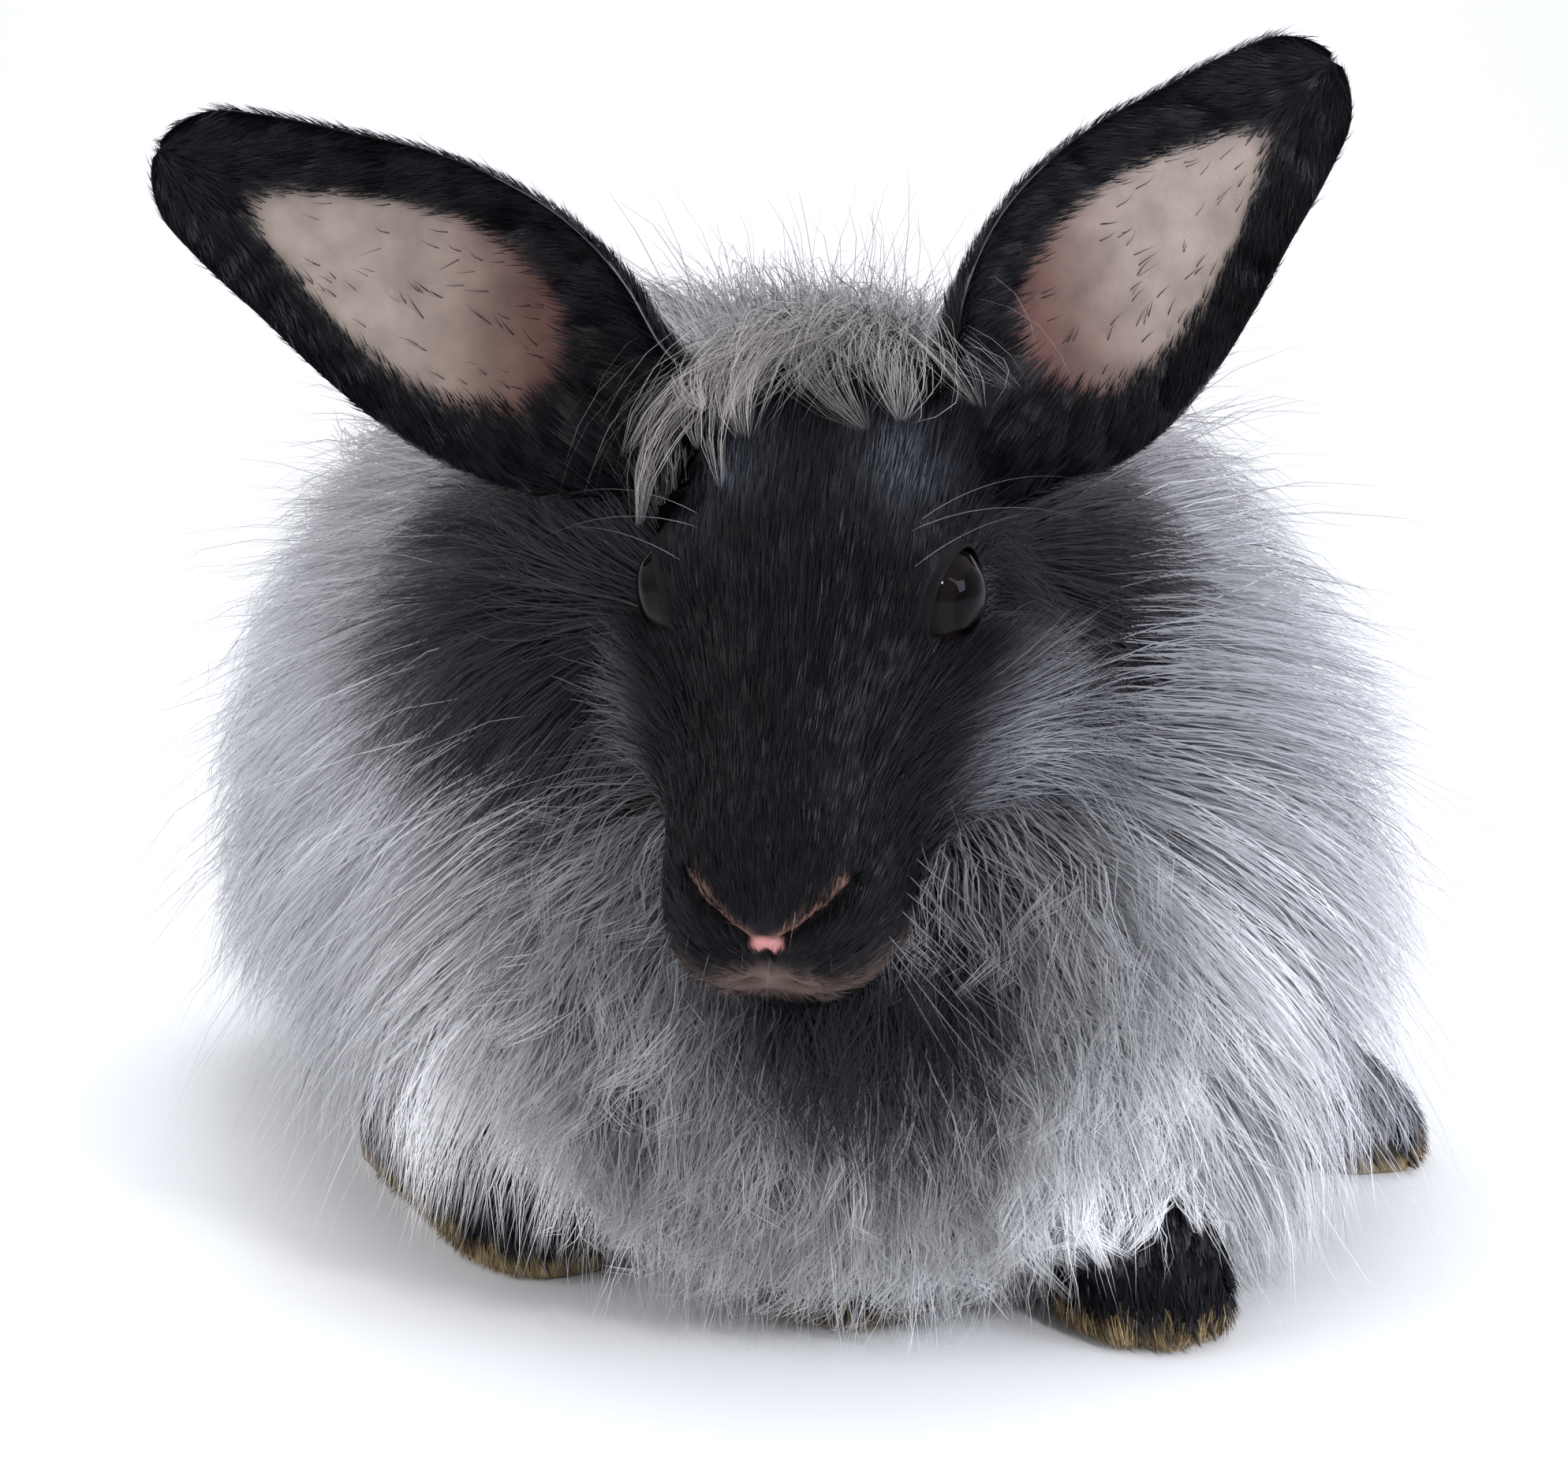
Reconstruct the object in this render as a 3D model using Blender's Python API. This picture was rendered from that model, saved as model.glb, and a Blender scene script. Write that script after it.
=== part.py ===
"""Domestic rabbit of a long-woolled dwarf breed, life size, crouched with its head turned to its right.

Lengths are in millimetres and become metres when a mesh is made. +Z is up, the rabbit faces -Y,
and its left side is on +X. Each node is a core loft with its locks of wool fused on.
"""

import bpy
import bmesh
import numpy as np

MM = 0.001

# Gap between nodes that touch, and how far a lock keeps from a neighbour's ground.
GAP = 0.3
LOCK_GAP = 0.5

# Points this near are one after a Boolean.
WELD = 0.003

# Head: nose tip, and the turn of the head about it.
NOSE_TIP = (-2.8, -142.0, 72.0)
HEAD_PITCH = 40.0
HEAD_YAW = -13.0

# Sections of the head, from the lips back to the poll: distance, half width, top, underside, widest height.
HEAD_SECTIONS = (
    (0.0, 17.0, 4.0, -21.0, -9.0),
    (10.0, 17.6, 10.5, -24.0, -9.0),
    (22.0, 18.6, 16.0, -26.0, -7.0),
    (36.0, 21.4, 21.5, -29.5, 0.0),
    (48.0, 24.0, 26.0, -32.0, 8.0),
    (62.0, 24.2, 28.5, -33.0, 7.0),
    (76.0, 22.5, 28.0, -33.0, 2.0),
    (90.0, 20.0, 23.5, -30.0, -2.0),
    (104.0, 15.0, 14.0, -24.0, -4.0),
)
MUZZLE_ROUND = 12.0
HEAD_RINGS = 22
HEAD_SPOKES = 28

# Soft swellings of the head: place on it, radius and height.
HEAD_BUMPS = (
    ((8.5, 0.0, -9.0), 6.5, 2.0),
    ((-8.5, 0.0, -9.0), 6.5, 2.0),
    ((0.0, -1.0, 1.0), 4.5, 1.8),
    ((0.0, 2.0, -20.0), 6.0, 1.2),
    ((19.0, 50.0, 20.0), 8.0, 1.6),
    ((-19.0, 50.0, 20.0), 8.0, 1.6),
    ((19.0, 55.0, -14.0), 15.0, 4.0),
    ((-19.0, 55.0, -14.0), 15.0, 4.0),
)

# Eyes: centre on the head, radius, section of the lids (share of the opening, height off the globe), the
# opening between them and the way the eye looks.
EYE_CENTRE = (16.6, 50.5, 15.0)
EYE_RADIUS = 8.3
LID_SECTION = ((0.95, 0.05), (1.0, 1.2), (1.16, 1.0), (1.26, -1.4), (1.05, -2.0))
EYE_OPENING = (8.0, 7.0)
EYE_OUTWARD = (0.95, -0.30, 0.12)

# Nostrils, split lip and mouth line: how far back and at what angle round the muzzle each groove
# runs on the left side, and its radii.
NOSTRIL = (((6.0, 47.0), (3.0, 55.0), (1.0, 68.0), (0.3, 80.0)), (0.5, 1.5, 1.3, 0.5))
MOUTH = (((-0.95, -20.0), (-0.3, -12.0), (2.5, -13.0), (8.5, -16.0)), (1.2, 1.2, 1.0, 0.4))
LIP_SPLIT = (((0.2, 90.0), (-0.4, 90.0), (-0.97, 90.0)), (0.6, 1.0, 1.1))

# Ground of the head: planes behind the poll and under the jaw, on the head's own axes.
POLL_PLANE = ((0.0, 82.0, -8.0), (0.0, 0.907, -0.421))
JAW_PLANE = ((0.0, -6.0, -27.5), (0.0, -0.121, -0.993))

# Body axis: its middle on the floor and its turn.
BODY_MIDDLE = (-2.0, 45.0, 0.0)
BODY_YAW = 10.0

# Sections of the trunk's core, rump to chest: distance forward, half width, top, underside.
TORSO_SECTIONS = (
    (-101.0, 6.0, 54.0, 40.0),
    (-97.0, 30.0, 78.0, 20.0),
    (-86.0, 52.0, 99.0, 6.0),
    (-67.0, 70.0, 119.0, 0.4),
    (-40.0, 80.0, 133.0, -0.6),
    (-8.0, 83.0, 137.0, 0.4),
    (25.0, 79.0, 135.0, 4.0),
    (60.0, 71.0, 128.0, 6.0),
    (90.0, 62.0, 118.0, 7.0),
    (112.0, 54.0, 104.0, 9.0),
    (128.0, 42.0, 88.0, 16.0),
    (138.0, 26.0, 68.0, 27.0),
    (142.0, 5.0, 52.0, 44.0),
)
TORSO_RINGS = (
    -101.0, -98.5, -93.0, -84.0, -72.0, -56.0, -36.0, -12.0,
    14.0, 42.0, 68.0, 92.0, 110.0, 124.0, 134.0, 140.0,
)
TORSO_SPOKES = 24

# Wool of the trunk: spacing, length and thickness of a lock, its angles off the skin at root and tip, and
# how much it droops.
WOOL_SPACING = 34.0
WOOL_LENGTH = 55.0
WOOL_THICKNESS = 5.5
WOOL_RISE = (50.0, 8.0)
WOOL_DROOP = 0.35

# Collar row behind the neck: first and last angle round the trunk and the step, in degrees.
COLLAR_SPAN = (-15.0, 200.0, 20.0)

# Wool of the ruff and the bib, the same way.
RUFF_SPACING = 21.0
RUFF_LENGTH = (38.0, 46.0)
RUFF_THICKNESS = 4.6
RUFF_RISE = (62.0, 20.0)
BIB_LENGTH = (36.0, 44.0)
BIB_RISE = (44.0, 2.0)
RUFF_DROOP = 0.3

# Cheek wool and forelock: rows on the head, and length, width, thickness and angles of a lock.
CHEEK_ROWS = ((68.0, 30.0, 3), (78.0, 34.0, 4))
CHEEK_ANGLES = (-38.0, -18.0, 3.0, 22.0)
CHEEK_WIDTH = (17.0, 20.0)
CHEEK_THICKNESS = 3.8
CHEEK_RISE = (44.0, 14.0)
FORELOCK_ROWS = ((84.0, 28.0, 36.0), (92.0, 32.0, 40.0))
FORELOCKS = 5
FORELOCK_WIDTH = (10.0, 12.0)
FORELOCK_THICKNESS = 3.0
FORELOCK_RISE = (84.0, -34.0)

# Shape of every lock: shares of its length, its width there and its thickness there.
LOCK_SHARES = (0.0, 0.25, 0.55, 0.8, 1.0)
LOCK_WIDTHS = (0.7, 1.0, 1.0, 0.66, 0.2)
LOCK_DEPTHS = (0.9, 1.0, 0.9, 0.6, 0.3)
LOCK_SWAY = 0.3
LOCK_TURNS = 4.5

# Neck: a cone of muscle and wool from the poll to the shoulders, with a round bib under the jaw.
# Each ring: share of the way, centre (across, back, up) in the world, half width, half height.
NECK_SECTIONS = (
    (0.0, 4.0, -106.0, 112.0, 22.0, 27.0),
    (0.3, 4.0, -92.0, 108.0, 30.0, 34.0),
    (0.6, 3.0, -74.0, 101.0, 43.0, 39.0),
    (1.0, 2.0, -44.0, 90.0, 60.0, 41.0),
)
NECK_LEAN = (34.0, 6.0)
BIB_CENTRE = (10.0, -90.0, 54.0)
BIB_HALF = (42.0, 26.0, 38.0)
WITHERS_PLANE = ((12.0, -50.0, 100.0), (0.0, 0.983, -0.185))
BIB_PLANE = ((10.0, -85.0, 25.0), (0.0, 0.66, -0.751))

# Ears: base, tip, way the cup opens, and backward bow of the middle.
EAR_RIGHT = ((-23.0, -90.0, 140.0), (-94.0, -82.0, 178.5), (-0.10, -0.97, -0.20), 5.0)
EAR_LEFT = ((31.0, -90.0, 139.0), (84.5, -68.0, 192.0), (0.22, -0.96, -0.10), 5.0)

# Sections of an ear, base to tip: share of its length, half width, depth of the cup.
EAR_SECTIONS = (
    (-0.14, 9.5, 12.0),
    (0.0, 13.5, 14.0),
    (0.10, 17.5, 14.0),
    (0.25, 20.2, 12.0),
    (0.40, 20.4, 10.0),
    (0.55, 18.6, 7.5),
    (0.70, 15.4, 5.5),
    (0.82, 12.2, 4.0),
    (0.92, 8.8, 2.6),
    (0.975, 5.4, 1.6),
    (1.0, 2.0, 0.8),
)
EAR_THICKNESS = 2.6
EAR_RINGS = 17
EAR_SPANS = 9

# Forelegs: centre of the paw on the floor and its turn.
FOREPAWS = {"foreleg_left": ((55.0, -94.0), 4.0), "foreleg_right": ((10.0, -84.0), -6.0)}
FOREPAW_SIZE = (27.0, 35.0, 19.0)
FORELEG_TOP = (9.5, 46.0)

# Hind feet: tip of the toes, heel, and size across and up.
HIND_FEET = {"hindleg_left": ((105.0, -17.0), (85.0, 60.0)), "hindleg_right": ((-34.0, -74.0), (-70.0, 0.0))}
HIND_FOOT_SIZE = (25.0, 18.0)
HOCK_TOP = (11.0, 34.0, 20.0)

# Claws: radius at the root, length, and how many on each foot.
CLAW = (1.3, 7.0)
CLAWS = 4

# Tail: middle of its root on the rump and its size.
TAIL_ROOT = (-98.0, 62.0)
TAIL_LENGTH = 30.0
TAIL_RADIUS = 14.0
TAIL_BOX = (30.0, 26.0, 104.0)

# Colours of the nodes.
BLACK_FUR = (0.015, 0.015, 0.018, 1.0)
GREY_WOOL = (0.26, 0.26, 0.29, 1.0)
EYE_BLACK = (0.006, 0.006, 0.009, 1.0)


# Start from an empty scene, with one collection for the nodes and one for helpers.
for old in list(bpy.data.objects):
    bpy.data.objects.remove(old, do_unlink=True)
rabbit = bpy.data.collections.new("domestic_rabbit")
helpers = bpy.data.collections.new("cutters")
bpy.context.scene.collection.children.link(rabbit)
bpy.context.scene.collection.children.link(helpers)
helpers.hide_render = True


def unit(vectors):
    """Vectors scaled to length one."""
    vectors = np.asarray(vectors, float)
    return vectors / np.maximum(np.linalg.norm(vectors, axis=-1, keepdims=True), 1e-9)


def smooth_table(table, at):
    """Values of a table of sections at other places, by a cubic through its points."""
    table = np.asarray(table, float)
    x, y = table[:, 0], table[:, 1:]
    slope = np.gradient(y, x, axis=0)
    at = np.clip(at, x[0], x[-1])
    i = np.clip(np.searchsorted(x, at) - 1, 0, len(x) - 2)
    h = (x[i + 1] - x[i])[:, None]
    u = ((at - x[i]) / (x[i + 1] - x[i]))[:, None]
    return (
        (1 + 2 * u) * (1 - u) ** 2 * y[i]
        + u * (1 - u) ** 2 * h * slope[i]
        + u**2 * (3 - 2 * u) * y[i + 1]
        + u**2 * (u - 1) * h * slope[i + 1]
    )


def turn(pitch, yaw):
    """Turn of a body: nose down, then about the upright."""
    p, y = np.radians([pitch, yaw])
    pitched = np.array([[1, 0, 0], [0, np.cos(p), -np.sin(p)], [0, np.sin(p), np.cos(p)]])
    yawed = np.array([[np.cos(y), -np.sin(y), 0], [np.sin(y), np.cos(y), 0], [0, 0, 1]])
    return yawed @ pitched


HEAD_TURN = turn(HEAD_PITCH, HEAD_YAW)
BODY_TURN = turn(0.0, BODY_YAW)


def head_to_world(points):
    """Points on the head's own axes (across, back, up) in the world."""
    return np.asarray(points, float) @ HEAD_TURN.T + NOSE_TIP


def head_direction(vector):
    """A direction on the head's own axes in the world."""
    return HEAD_TURN @ np.asarray(vector, float)


def body_to_world(points):
    """Points on the body's own axes (across, back, up) in the world."""
    return np.asarray(points, float) @ BODY_TURN.T + BODY_MIDDLE


def world_plane(plane, to_world, direction):
    """A plane (point, outward direction) taken to the world."""
    return to_world(np.array(plane[0])), unit(direction(plane[1]))


def mesh_object(name, points, faces):
    """A helper mesh object from points in millimetres, its faces turned outward."""
    mesh = bpy.data.meshes.new(name)
    mesh.from_pydata((np.asarray(points) * MM).tolist(), [], faces)
    shape = bmesh.new()
    shape.from_mesh(mesh)
    bmesh.ops.recalc_face_normals(shape, faces=shape.faces)
    bmesh.ops.triangulate(shape, faces=shape.faces)
    shape.to_mesh(mesh)
    shape.free()
    made = bpy.data.objects.new(name, mesh)
    made.hide_render = True
    made.display_type = "WIRE"
    helpers.objects.link(made)
    return made


def loft(name, rings):
    """A closed body through rings of equally many points, each end closed by a fan."""
    rings = np.asarray(rings, float)
    count, spokes = rings.shape[:2]
    points = np.concatenate([rings.reshape(-1, 3), [rings[0].mean(0)], [rings[-1].mean(0)]])
    faces = []
    for ring in range(count - 1):
        for spoke in range(spokes):
            after = (spoke + 1) % spokes
            low, high = ring * spokes, (ring + 1) * spokes
            faces.append((low + spoke, low + after, high + after, high + spoke))
    first, last = count * spokes, count * spokes + 1
    for spoke in range(spokes):
        after = (spoke + 1) % spokes
        faces.append((first, after, spoke))
        faces.append((last, (count - 1) * spokes + spoke, (count - 1) * spokes + after))
    return mesh_object(name, points, faces)


def combine(target, pieces, operation):
    """One Boolean of a mesh object with a group of closed pieces, applied, and the pieces removed."""
    group = bpy.data.collections.new("pieces")
    bpy.context.scene.collection.children.link(group)
    for piece in pieces:
        helpers.objects.unlink(piece)
        group.objects.link(piece)
    boolean = target.modifiers.new("join", "BOOLEAN")
    boolean.operation = operation
    boolean.solver = "MANIFOLD"
    boolean.operand_type = "COLLECTION"
    boolean.collection = group
    graph = bpy.context.evaluated_depsgraph_get()
    result = bpy.data.meshes.new_from_object(target.evaluated_get(graph))
    target.modifiers.clear()
    target.data = result
    for piece in pieces:
        bpy.data.objects.remove(piece, do_unlink=True)
    bpy.data.collections.remove(group)
    keep_largest(target)


def keep_largest(target):
    """Only the largest closed surface of a mesh object is kept."""
    shape = bmesh.new()
    shape.from_mesh(target.data)
    bmesh.ops.remove_doubles(shape, verts=shape.verts, dist=WELD * MM)
    left = set(shape.faces)
    groups = []
    while left:
        queue = [left.pop()]
        group = list(queue)
        while queue:
            sides = [edge.link_faces for edge in queue.pop().edges if len(edge.link_faces) == 2]
            for face in {face for pair in sides for face in pair} & left:
                left.discard(face)
                group.append(face)
                queue.append(face)
        groups.append(group)
    groups.sort(key=len, reverse=True)
    for group in groups[1:]:
        bmesh.ops.delete(shape, geom=group, context="FACES")
    bmesh.ops.triangulate(shape, faces=shape.faces)
    shape.to_mesh(target.data)
    shape.free()


def finish_node(target, name, colour, roughness):
    """Names a finished body, gives it its own material and moves it among the nodes."""
    target.name = name
    target.hide_render = False
    target.display_type = "TEXTURED"
    material = bpy.data.materials.new(name)
    material.use_nodes = True
    shader = material.node_tree.nodes["Principled BSDF"]
    shader.inputs["Base Color"].default_value = colour
    shader.inputs["Roughness"].default_value = roughness
    target.data.materials.clear()
    target.data.materials.append(material)
    helpers.objects.unlink(target)
    rabbit.objects.link(target)


rng = np.random.default_rng(9)


# Locks of wool: a bent, tapered strip with a ridge, kept inside or outside a neighbour's ground.

def bent_line(root, normal, lie, length, rise, sink, droop, steps):
    """Middle line of a lock: out of the skin at an angle, bending over to its lie, swaying and drooping."""
    sway, phase = rng.normal(0, LOCK_SWAY), rng.uniform(0, np.pi)
    share = np.linspace(0.0, 1.0, steps + 1)
    steep = np.radians(rise[0]) + (np.radians(rise[1]) - np.radians(rise[0])) * share
    step = np.cos(steep)[:, None] * lie + np.sin(steep)[:, None] * normal
    step += np.outer(sway * np.cos(phase + LOCK_TURNS * share), np.cross(normal, lie))
    step[:, 2] -= droop * share
    line = np.cumsum(unit(step) * length / steps, axis=0)
    start = root - normal * sink - step[0] * sink * 0.6
    return np.concatenate([[start], root + (line - line[0])[:-1] + step[0] * 2.0, [root + line[-1]]])


def lock_rings(line, normal, width, thickness, twist):
    """Rings of three points along a middle line, flat below and ridged above, and the tip."""
    along = unit(np.gradient(line, axis=0))
    across = unit(np.cross(along, normal))
    over = unit(np.cross(across, along))
    across = unit(across * np.cos(twist) + over * np.sin(twist))
    over = unit(np.cross(across, along))
    share = np.linspace(0.0, 1.0, len(line))[:-1]
    widths = width / 2 * np.interp(share, LOCK_SHARES, LOCK_WIDTHS)
    depths = thickness * np.interp(share, LOCK_SHARES, LOCK_DEPTHS)
    rings = [
        np.array([c - a * w - o * d * 0.4, c + a * w - o * d * 0.4, c + o * d * 0.6])
        for c, a, o, w, d in zip(line, across, over, widths, depths)
    ]
    return np.array(rings), line[-1]


def shift_clear(line, rings, tip, planes_out, planes_in):
    """Moves a lock's line out of a neighbour's ground, and back into its own, by its farthest points."""
    shift = np.zeros_like(line)
    groups = [ring for ring in rings] + [tip[None]]
    if planes_out:
        best = None
        for point, outward in planes_out:
            depth = np.array([LOCK_GAP - ((group - point) @ outward).min() for group in groups])
            depth = np.maximum(depth, 0.0)
            if best is None or depth.sum() < best[0].sum():
                best = (depth, outward)
        shift += best[0][:, None] * best[1]
    for point, outward in planes_in:
        depth = np.array([((group - point) @ outward).max() + LOCK_GAP for group in groups])
        shift -= np.maximum(depth, 0.0)[:, None] * outward
    return shift


def lock(name, root, normal, lie, size, rise, droop, grounds_out, planes_in, twist, sink, steps=3):
    """One closed lock of wool. Grounds are lists of planes whose inner side belongs to a neighbour."""
    length, width, thickness = size
    line = bent_line(root, normal, lie, length, rise, sink, droop, steps)
    for _ in range(3):
        line[:, 2] = np.maximum(line[:, 2], 2.4)
        rings, tip = lock_rings(line, normal, width, thickness, twist)
        for ground in grounds_out:
            move = shift_clear(line, rings, tip, ground, ())
            move[0] = 0.0
            line = line + move
            rings, tip = lock_rings(line, normal, width, thickness, twist)
        if planes_in:
            move = shift_clear(line, rings, tip, (), planes_in)
            move[0] = 0.0
            line = line + move
            rings, tip = lock_rings(line, normal, width, thickness, twist)
    rings[:, :, 2] = np.maximum(rings[:, :, 2], 1.0)
    tip[2] = max(tip[2], 1.4)
    count = len(rings)
    points = np.concatenate([rings.reshape(-1, 3), [tip]])
    faces = [(0, 2, 1)]
    for ring in range(count - 1):
        a, b = 3 * ring, 3 * ring + 3
        faces += [(a, a + 1, b + 1, b), (a + 1, a + 2, b + 2, b + 1), (a + 2, a, b, b + 2)]
    end = 3 * (count - 1)
    faces += [(end, end + 1, 3 * count), (end + 1, end + 2, 3 * count), (end + 2, end, 3 * count)]
    return mesh_object(name, points, faces)


# Head: one loft from the lips to the poll, rounded at the muzzle.


def head_surface(back, angle, grow=0.0):
    """Points of the head's skin in the world. Back runs from -1 at the lips; the angle starts at the left."""
    back, angle = np.broadcast_arrays(np.asarray(back, float), np.asarray(angle, float))
    shape = back.shape
    back, angle = back.ravel(), angle.ravel()
    half, top, under, widest = smooth_table(HEAD_SECTIONS, np.maximum(back, 0.0)).T
    near = np.clip((back + 1.0) / (MUZZLE_ROUND + 1.0), 0.0, 1.0)
    rounding = (1.0 - (1.0 - near) ** 2.4) ** (1 / 2.4)
    c, s = np.cos(angle), np.sin(angle)
    across = half * np.sign(c) * np.abs(c) ** 0.88
    height = np.where(s > 0, (top - widest) * np.abs(s) ** 0.9, (under - widest) * np.abs(s) ** 0.86)
    across *= 1.0 - 0.20 * np.clip(-s, 0.0, 1.0) ** 2
    points = np.stack([across * rounding, back, -8.5 + (height + widest + 8.5) * rounding], axis=1)
    points[:, 1] += 0.10 * np.clip(-points[:, 2] - 10.0, 0.0, 30.0) * (1.0 - near)
    middle = np.array([0.0, 45.0, -3.0])
    outward = unit(points - middle)
    swelling = np.zeros(len(points))
    for place, radius, size in HEAD_BUMPS:
        away = np.linalg.norm(points - np.array(place), axis=1)
        swelling += size * np.exp(-((away / radius) ** 2))
    points += outward * (swelling + grow)[:, None]
    return head_to_world(points).reshape(shape + (3,))


def head_core(grow=0.0, rings=HEAD_RINGS, spokes=HEAD_SPOKES):
    """The head without its locks, as a loft."""
    front = -1.0 + (MUZZLE_ROUND + 1.0) * np.linspace(0.0, 1.0, rings // 3) ** 2.2
    back = np.concatenate([front, np.linspace(MUZZLE_ROUND, 104.0, rings - rings // 3 + 1)[1:]])
    back[0] = -0.97
    angle = np.linspace(0.0, 2 * np.pi, spokes, endpoint=False)
    return loft("head_core", [head_surface(b, angle, grow) for b in back])


def on_head(back, angle):
    """A point of the head's skin, its outward normal and the way back along it."""
    e = 0.5
    point = head_surface(back, angle)
    along = unit(head_surface(back + e, angle) - head_surface(back - e, angle))
    round_it = unit(head_surface(back, angle + 0.02) - head_surface(back, angle - 0.02))
    normal = unit(np.cross(round_it, along))
    if (point - head_to_world([0.0, 45.0, -3.0])) @ normal < 0:
        normal = -normal
    return point, normal, along


poll_plane = world_plane(POLL_PLANE, head_to_world, head_direction)
jaw_plane = world_plane(JAW_PLANE, head_to_world, head_direction)
head_ground = [poll_plane, jaw_plane]


def wedge(name, planes, side, grow):
    """The space inside two planes, as a block drawn along the line where they cross."""
    (point_a, out_a), (point_b, out_b) = planes
    side = unit(side)
    middle = (point_a + point_b) / 2
    rows = np.array([out_a, out_b, side])
    reach = np.array([out_a @ point_a + grow, out_b @ point_b + grow, side @ middle])
    corner = np.linalg.solve(rows, reach)
    along_a, along_b = np.cross(side, out_a), np.cross(side, out_b)
    along_a = unit(-along_a * np.sign(along_a @ out_b)) * 300.0
    along_b = unit(-along_b * np.sign(along_b @ out_a)) * 300.0
    ring = [corner, corner + along_a, corner + along_a + along_b, corner + along_b]
    return loft(name, [[p + side * x for p in ring] for x in (-300.0, 300.0)])


def mirror_head(point, side):
    """A point on the head's left side, or its mirror."""
    return np.array(point) * (side, 1.0, 1.0)


def ball(name, centre, radius, count=16):
    """A round body as a loft."""
    polar = np.linspace(0.12, np.pi - 0.12, count // 2 + 2)
    angle = np.linspace(0.0, 2 * np.pi, count, endpoint=False)
    rings = [
        np.stack([np.sin(p) * np.cos(angle), np.sin(p) * np.sin(angle), np.full(count, np.cos(p))], 1)
        for p in polar
    ]
    return loft(name, np.array(centre) + radius * np.array(rings))


def tube(name, line, radii, flat=1.0, spokes=8, up=(0.0, 0.0, 1.0)):
    """A swept tube, flattened across by a share, with closed ends."""
    line = np.asarray(line, float)
    along = unit(np.gradient(line, axis=0))
    across = unit(np.cross(along, np.broadcast_to(up, along.shape)))
    over = np.cross(across, along)
    angle = np.linspace(0.0, 2 * np.pi, spokes, endpoint=False)
    rings = [
        c + r * (np.cos(angle)[:, None] * a + flat * np.sin(angle)[:, None] * o)
        for c, a, o, r in zip(line, across, over, radii)
    ]
    return loft(name, rings)


def eye_frame(side):
    """Centre of an eye, its outward direction, the way forward along its opening, and up."""
    centre = head_to_world(mirror_head(EYE_CENTRE, side))
    outward = unit(head_direction(mirror_head(EYE_OUTWARD, side)))
    forward = head_direction((0.0, -1.0, 0.0))
    forward = unit(forward - (forward @ outward) * outward)
    return centre, outward, forward, np.cross(outward, forward) * -side


def lid_ring(side):
    """The two lids: a ring that hugs the eyeball round its almond opening."""
    centre, outward, forward, up = eye_frame(side)
    shell = EYE_RADIUS + GAP
    rings = []
    for angle in np.linspace(0.0, 2 * np.pi, 16, endpoint=False):
        spread = np.array([EYE_OPENING[0] * np.cos(angle), EYE_OPENING[1] * np.sin(angle)])
        section = []
        for scale, stand in LID_SECTION:
            flat = spread * scale
            reach = shell + stand
            side_way = np.linalg.norm(flat)
            over = np.sqrt(max(reach**2 - side_way**2, 0.0)) if side_way < reach else -(side_way - reach)
            section.append(centre + forward * flat[0] + up * flat[1] + outward * over)
        rings.append(section)
    rings = np.array(rings)
    count, spokes = rings.shape[:2]
    faces = []
    for ring in range(count):
        here, beyond = ring * spokes, (ring + 1) % count * spokes
        for spoke in range(spokes):
            after = (spoke + 1) % spokes
            faces.append((here + spoke, here + after, beyond + after, beyond + spoke))
    return mesh_object("lids", rings.reshape(-1, 3), faces)


def groove(name, path, side):
    """A tapered groove that follows places on the skin, on one side of the head."""
    places, radii = np.array(path[0]), path[1]
    share = np.linspace(0.0, 1.0, len(places))
    at = np.linspace(0.0, 1.0, 5)
    back = np.interp(at, share, places[:, 0])
    angle = np.radians(np.interp(at, share, places[:, 1]))
    line = head_surface(back, angle if side > 0 else np.pi - angle, -0.3)
    return tube(name, line, np.interp(at, np.linspace(0.0, 1.0, len(radii)), radii), 1.0, 5)


def head_locks():
    """Cheek wool behind each eye and the forelock on the poll."""
    made = []
    down = np.array([0.0, 0.0, -1.0])
    grounds = (ear_grounds, head_ground)
    for side in (1, -1):
        for row, (back, length, count) in enumerate(CHEEK_ROWS):
            for angle in np.radians(CHEEK_ANGLES[:count]):
                at = angle + rng.normal(0, 0.05)
                root, normal, along = on_head(back + rng.normal(0, 1.0), at if side > 0 else np.pi - at)
                lie = along * 0.5 + down * (0.9 - 0.2 * row) + head_direction((side * 0.8, 0, 0))
                lie = unit(lie - (lie @ normal) * normal)
                size = (length + rng.normal(0, 2.0), rng.uniform(*CHEEK_WIDTH), CHEEK_THICKNESS)
                twist = rng.normal(0, 0.12)
                made.append(lock("cheek", root, normal, lie, size, CHEEK_RISE, 0.5, *grounds, twist, 5.0))
    for row, (back, shortest, longest) in enumerate(FORELOCK_ROWS):
        for place in range(FORELOCKS):
            share = (place + 0.5 * row + 0.25) / FORELOCKS
            root, normal, along = on_head(back, np.radians(122.0 - 58.0 * share))
            aim = head_direction((-1.2 + 1.1 * share + rng.normal(0, 0.1), -1.0, 0.15))
            lie = unit(aim - (aim @ normal) * normal)
            size = (rng.uniform(shortest, longest), rng.uniform(*FORELOCK_WIDTH), FORELOCK_THICKNESS)
            rise = (FORELOCK_RISE[0] + 8.0 * row, FORELOCK_RISE[1])
            twist = rng.normal(0, 0.2)
            made.append(lock("forelock", root, normal, lie, size, rise, 0.1, *grounds, twist, 4.0))
    return made


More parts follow.
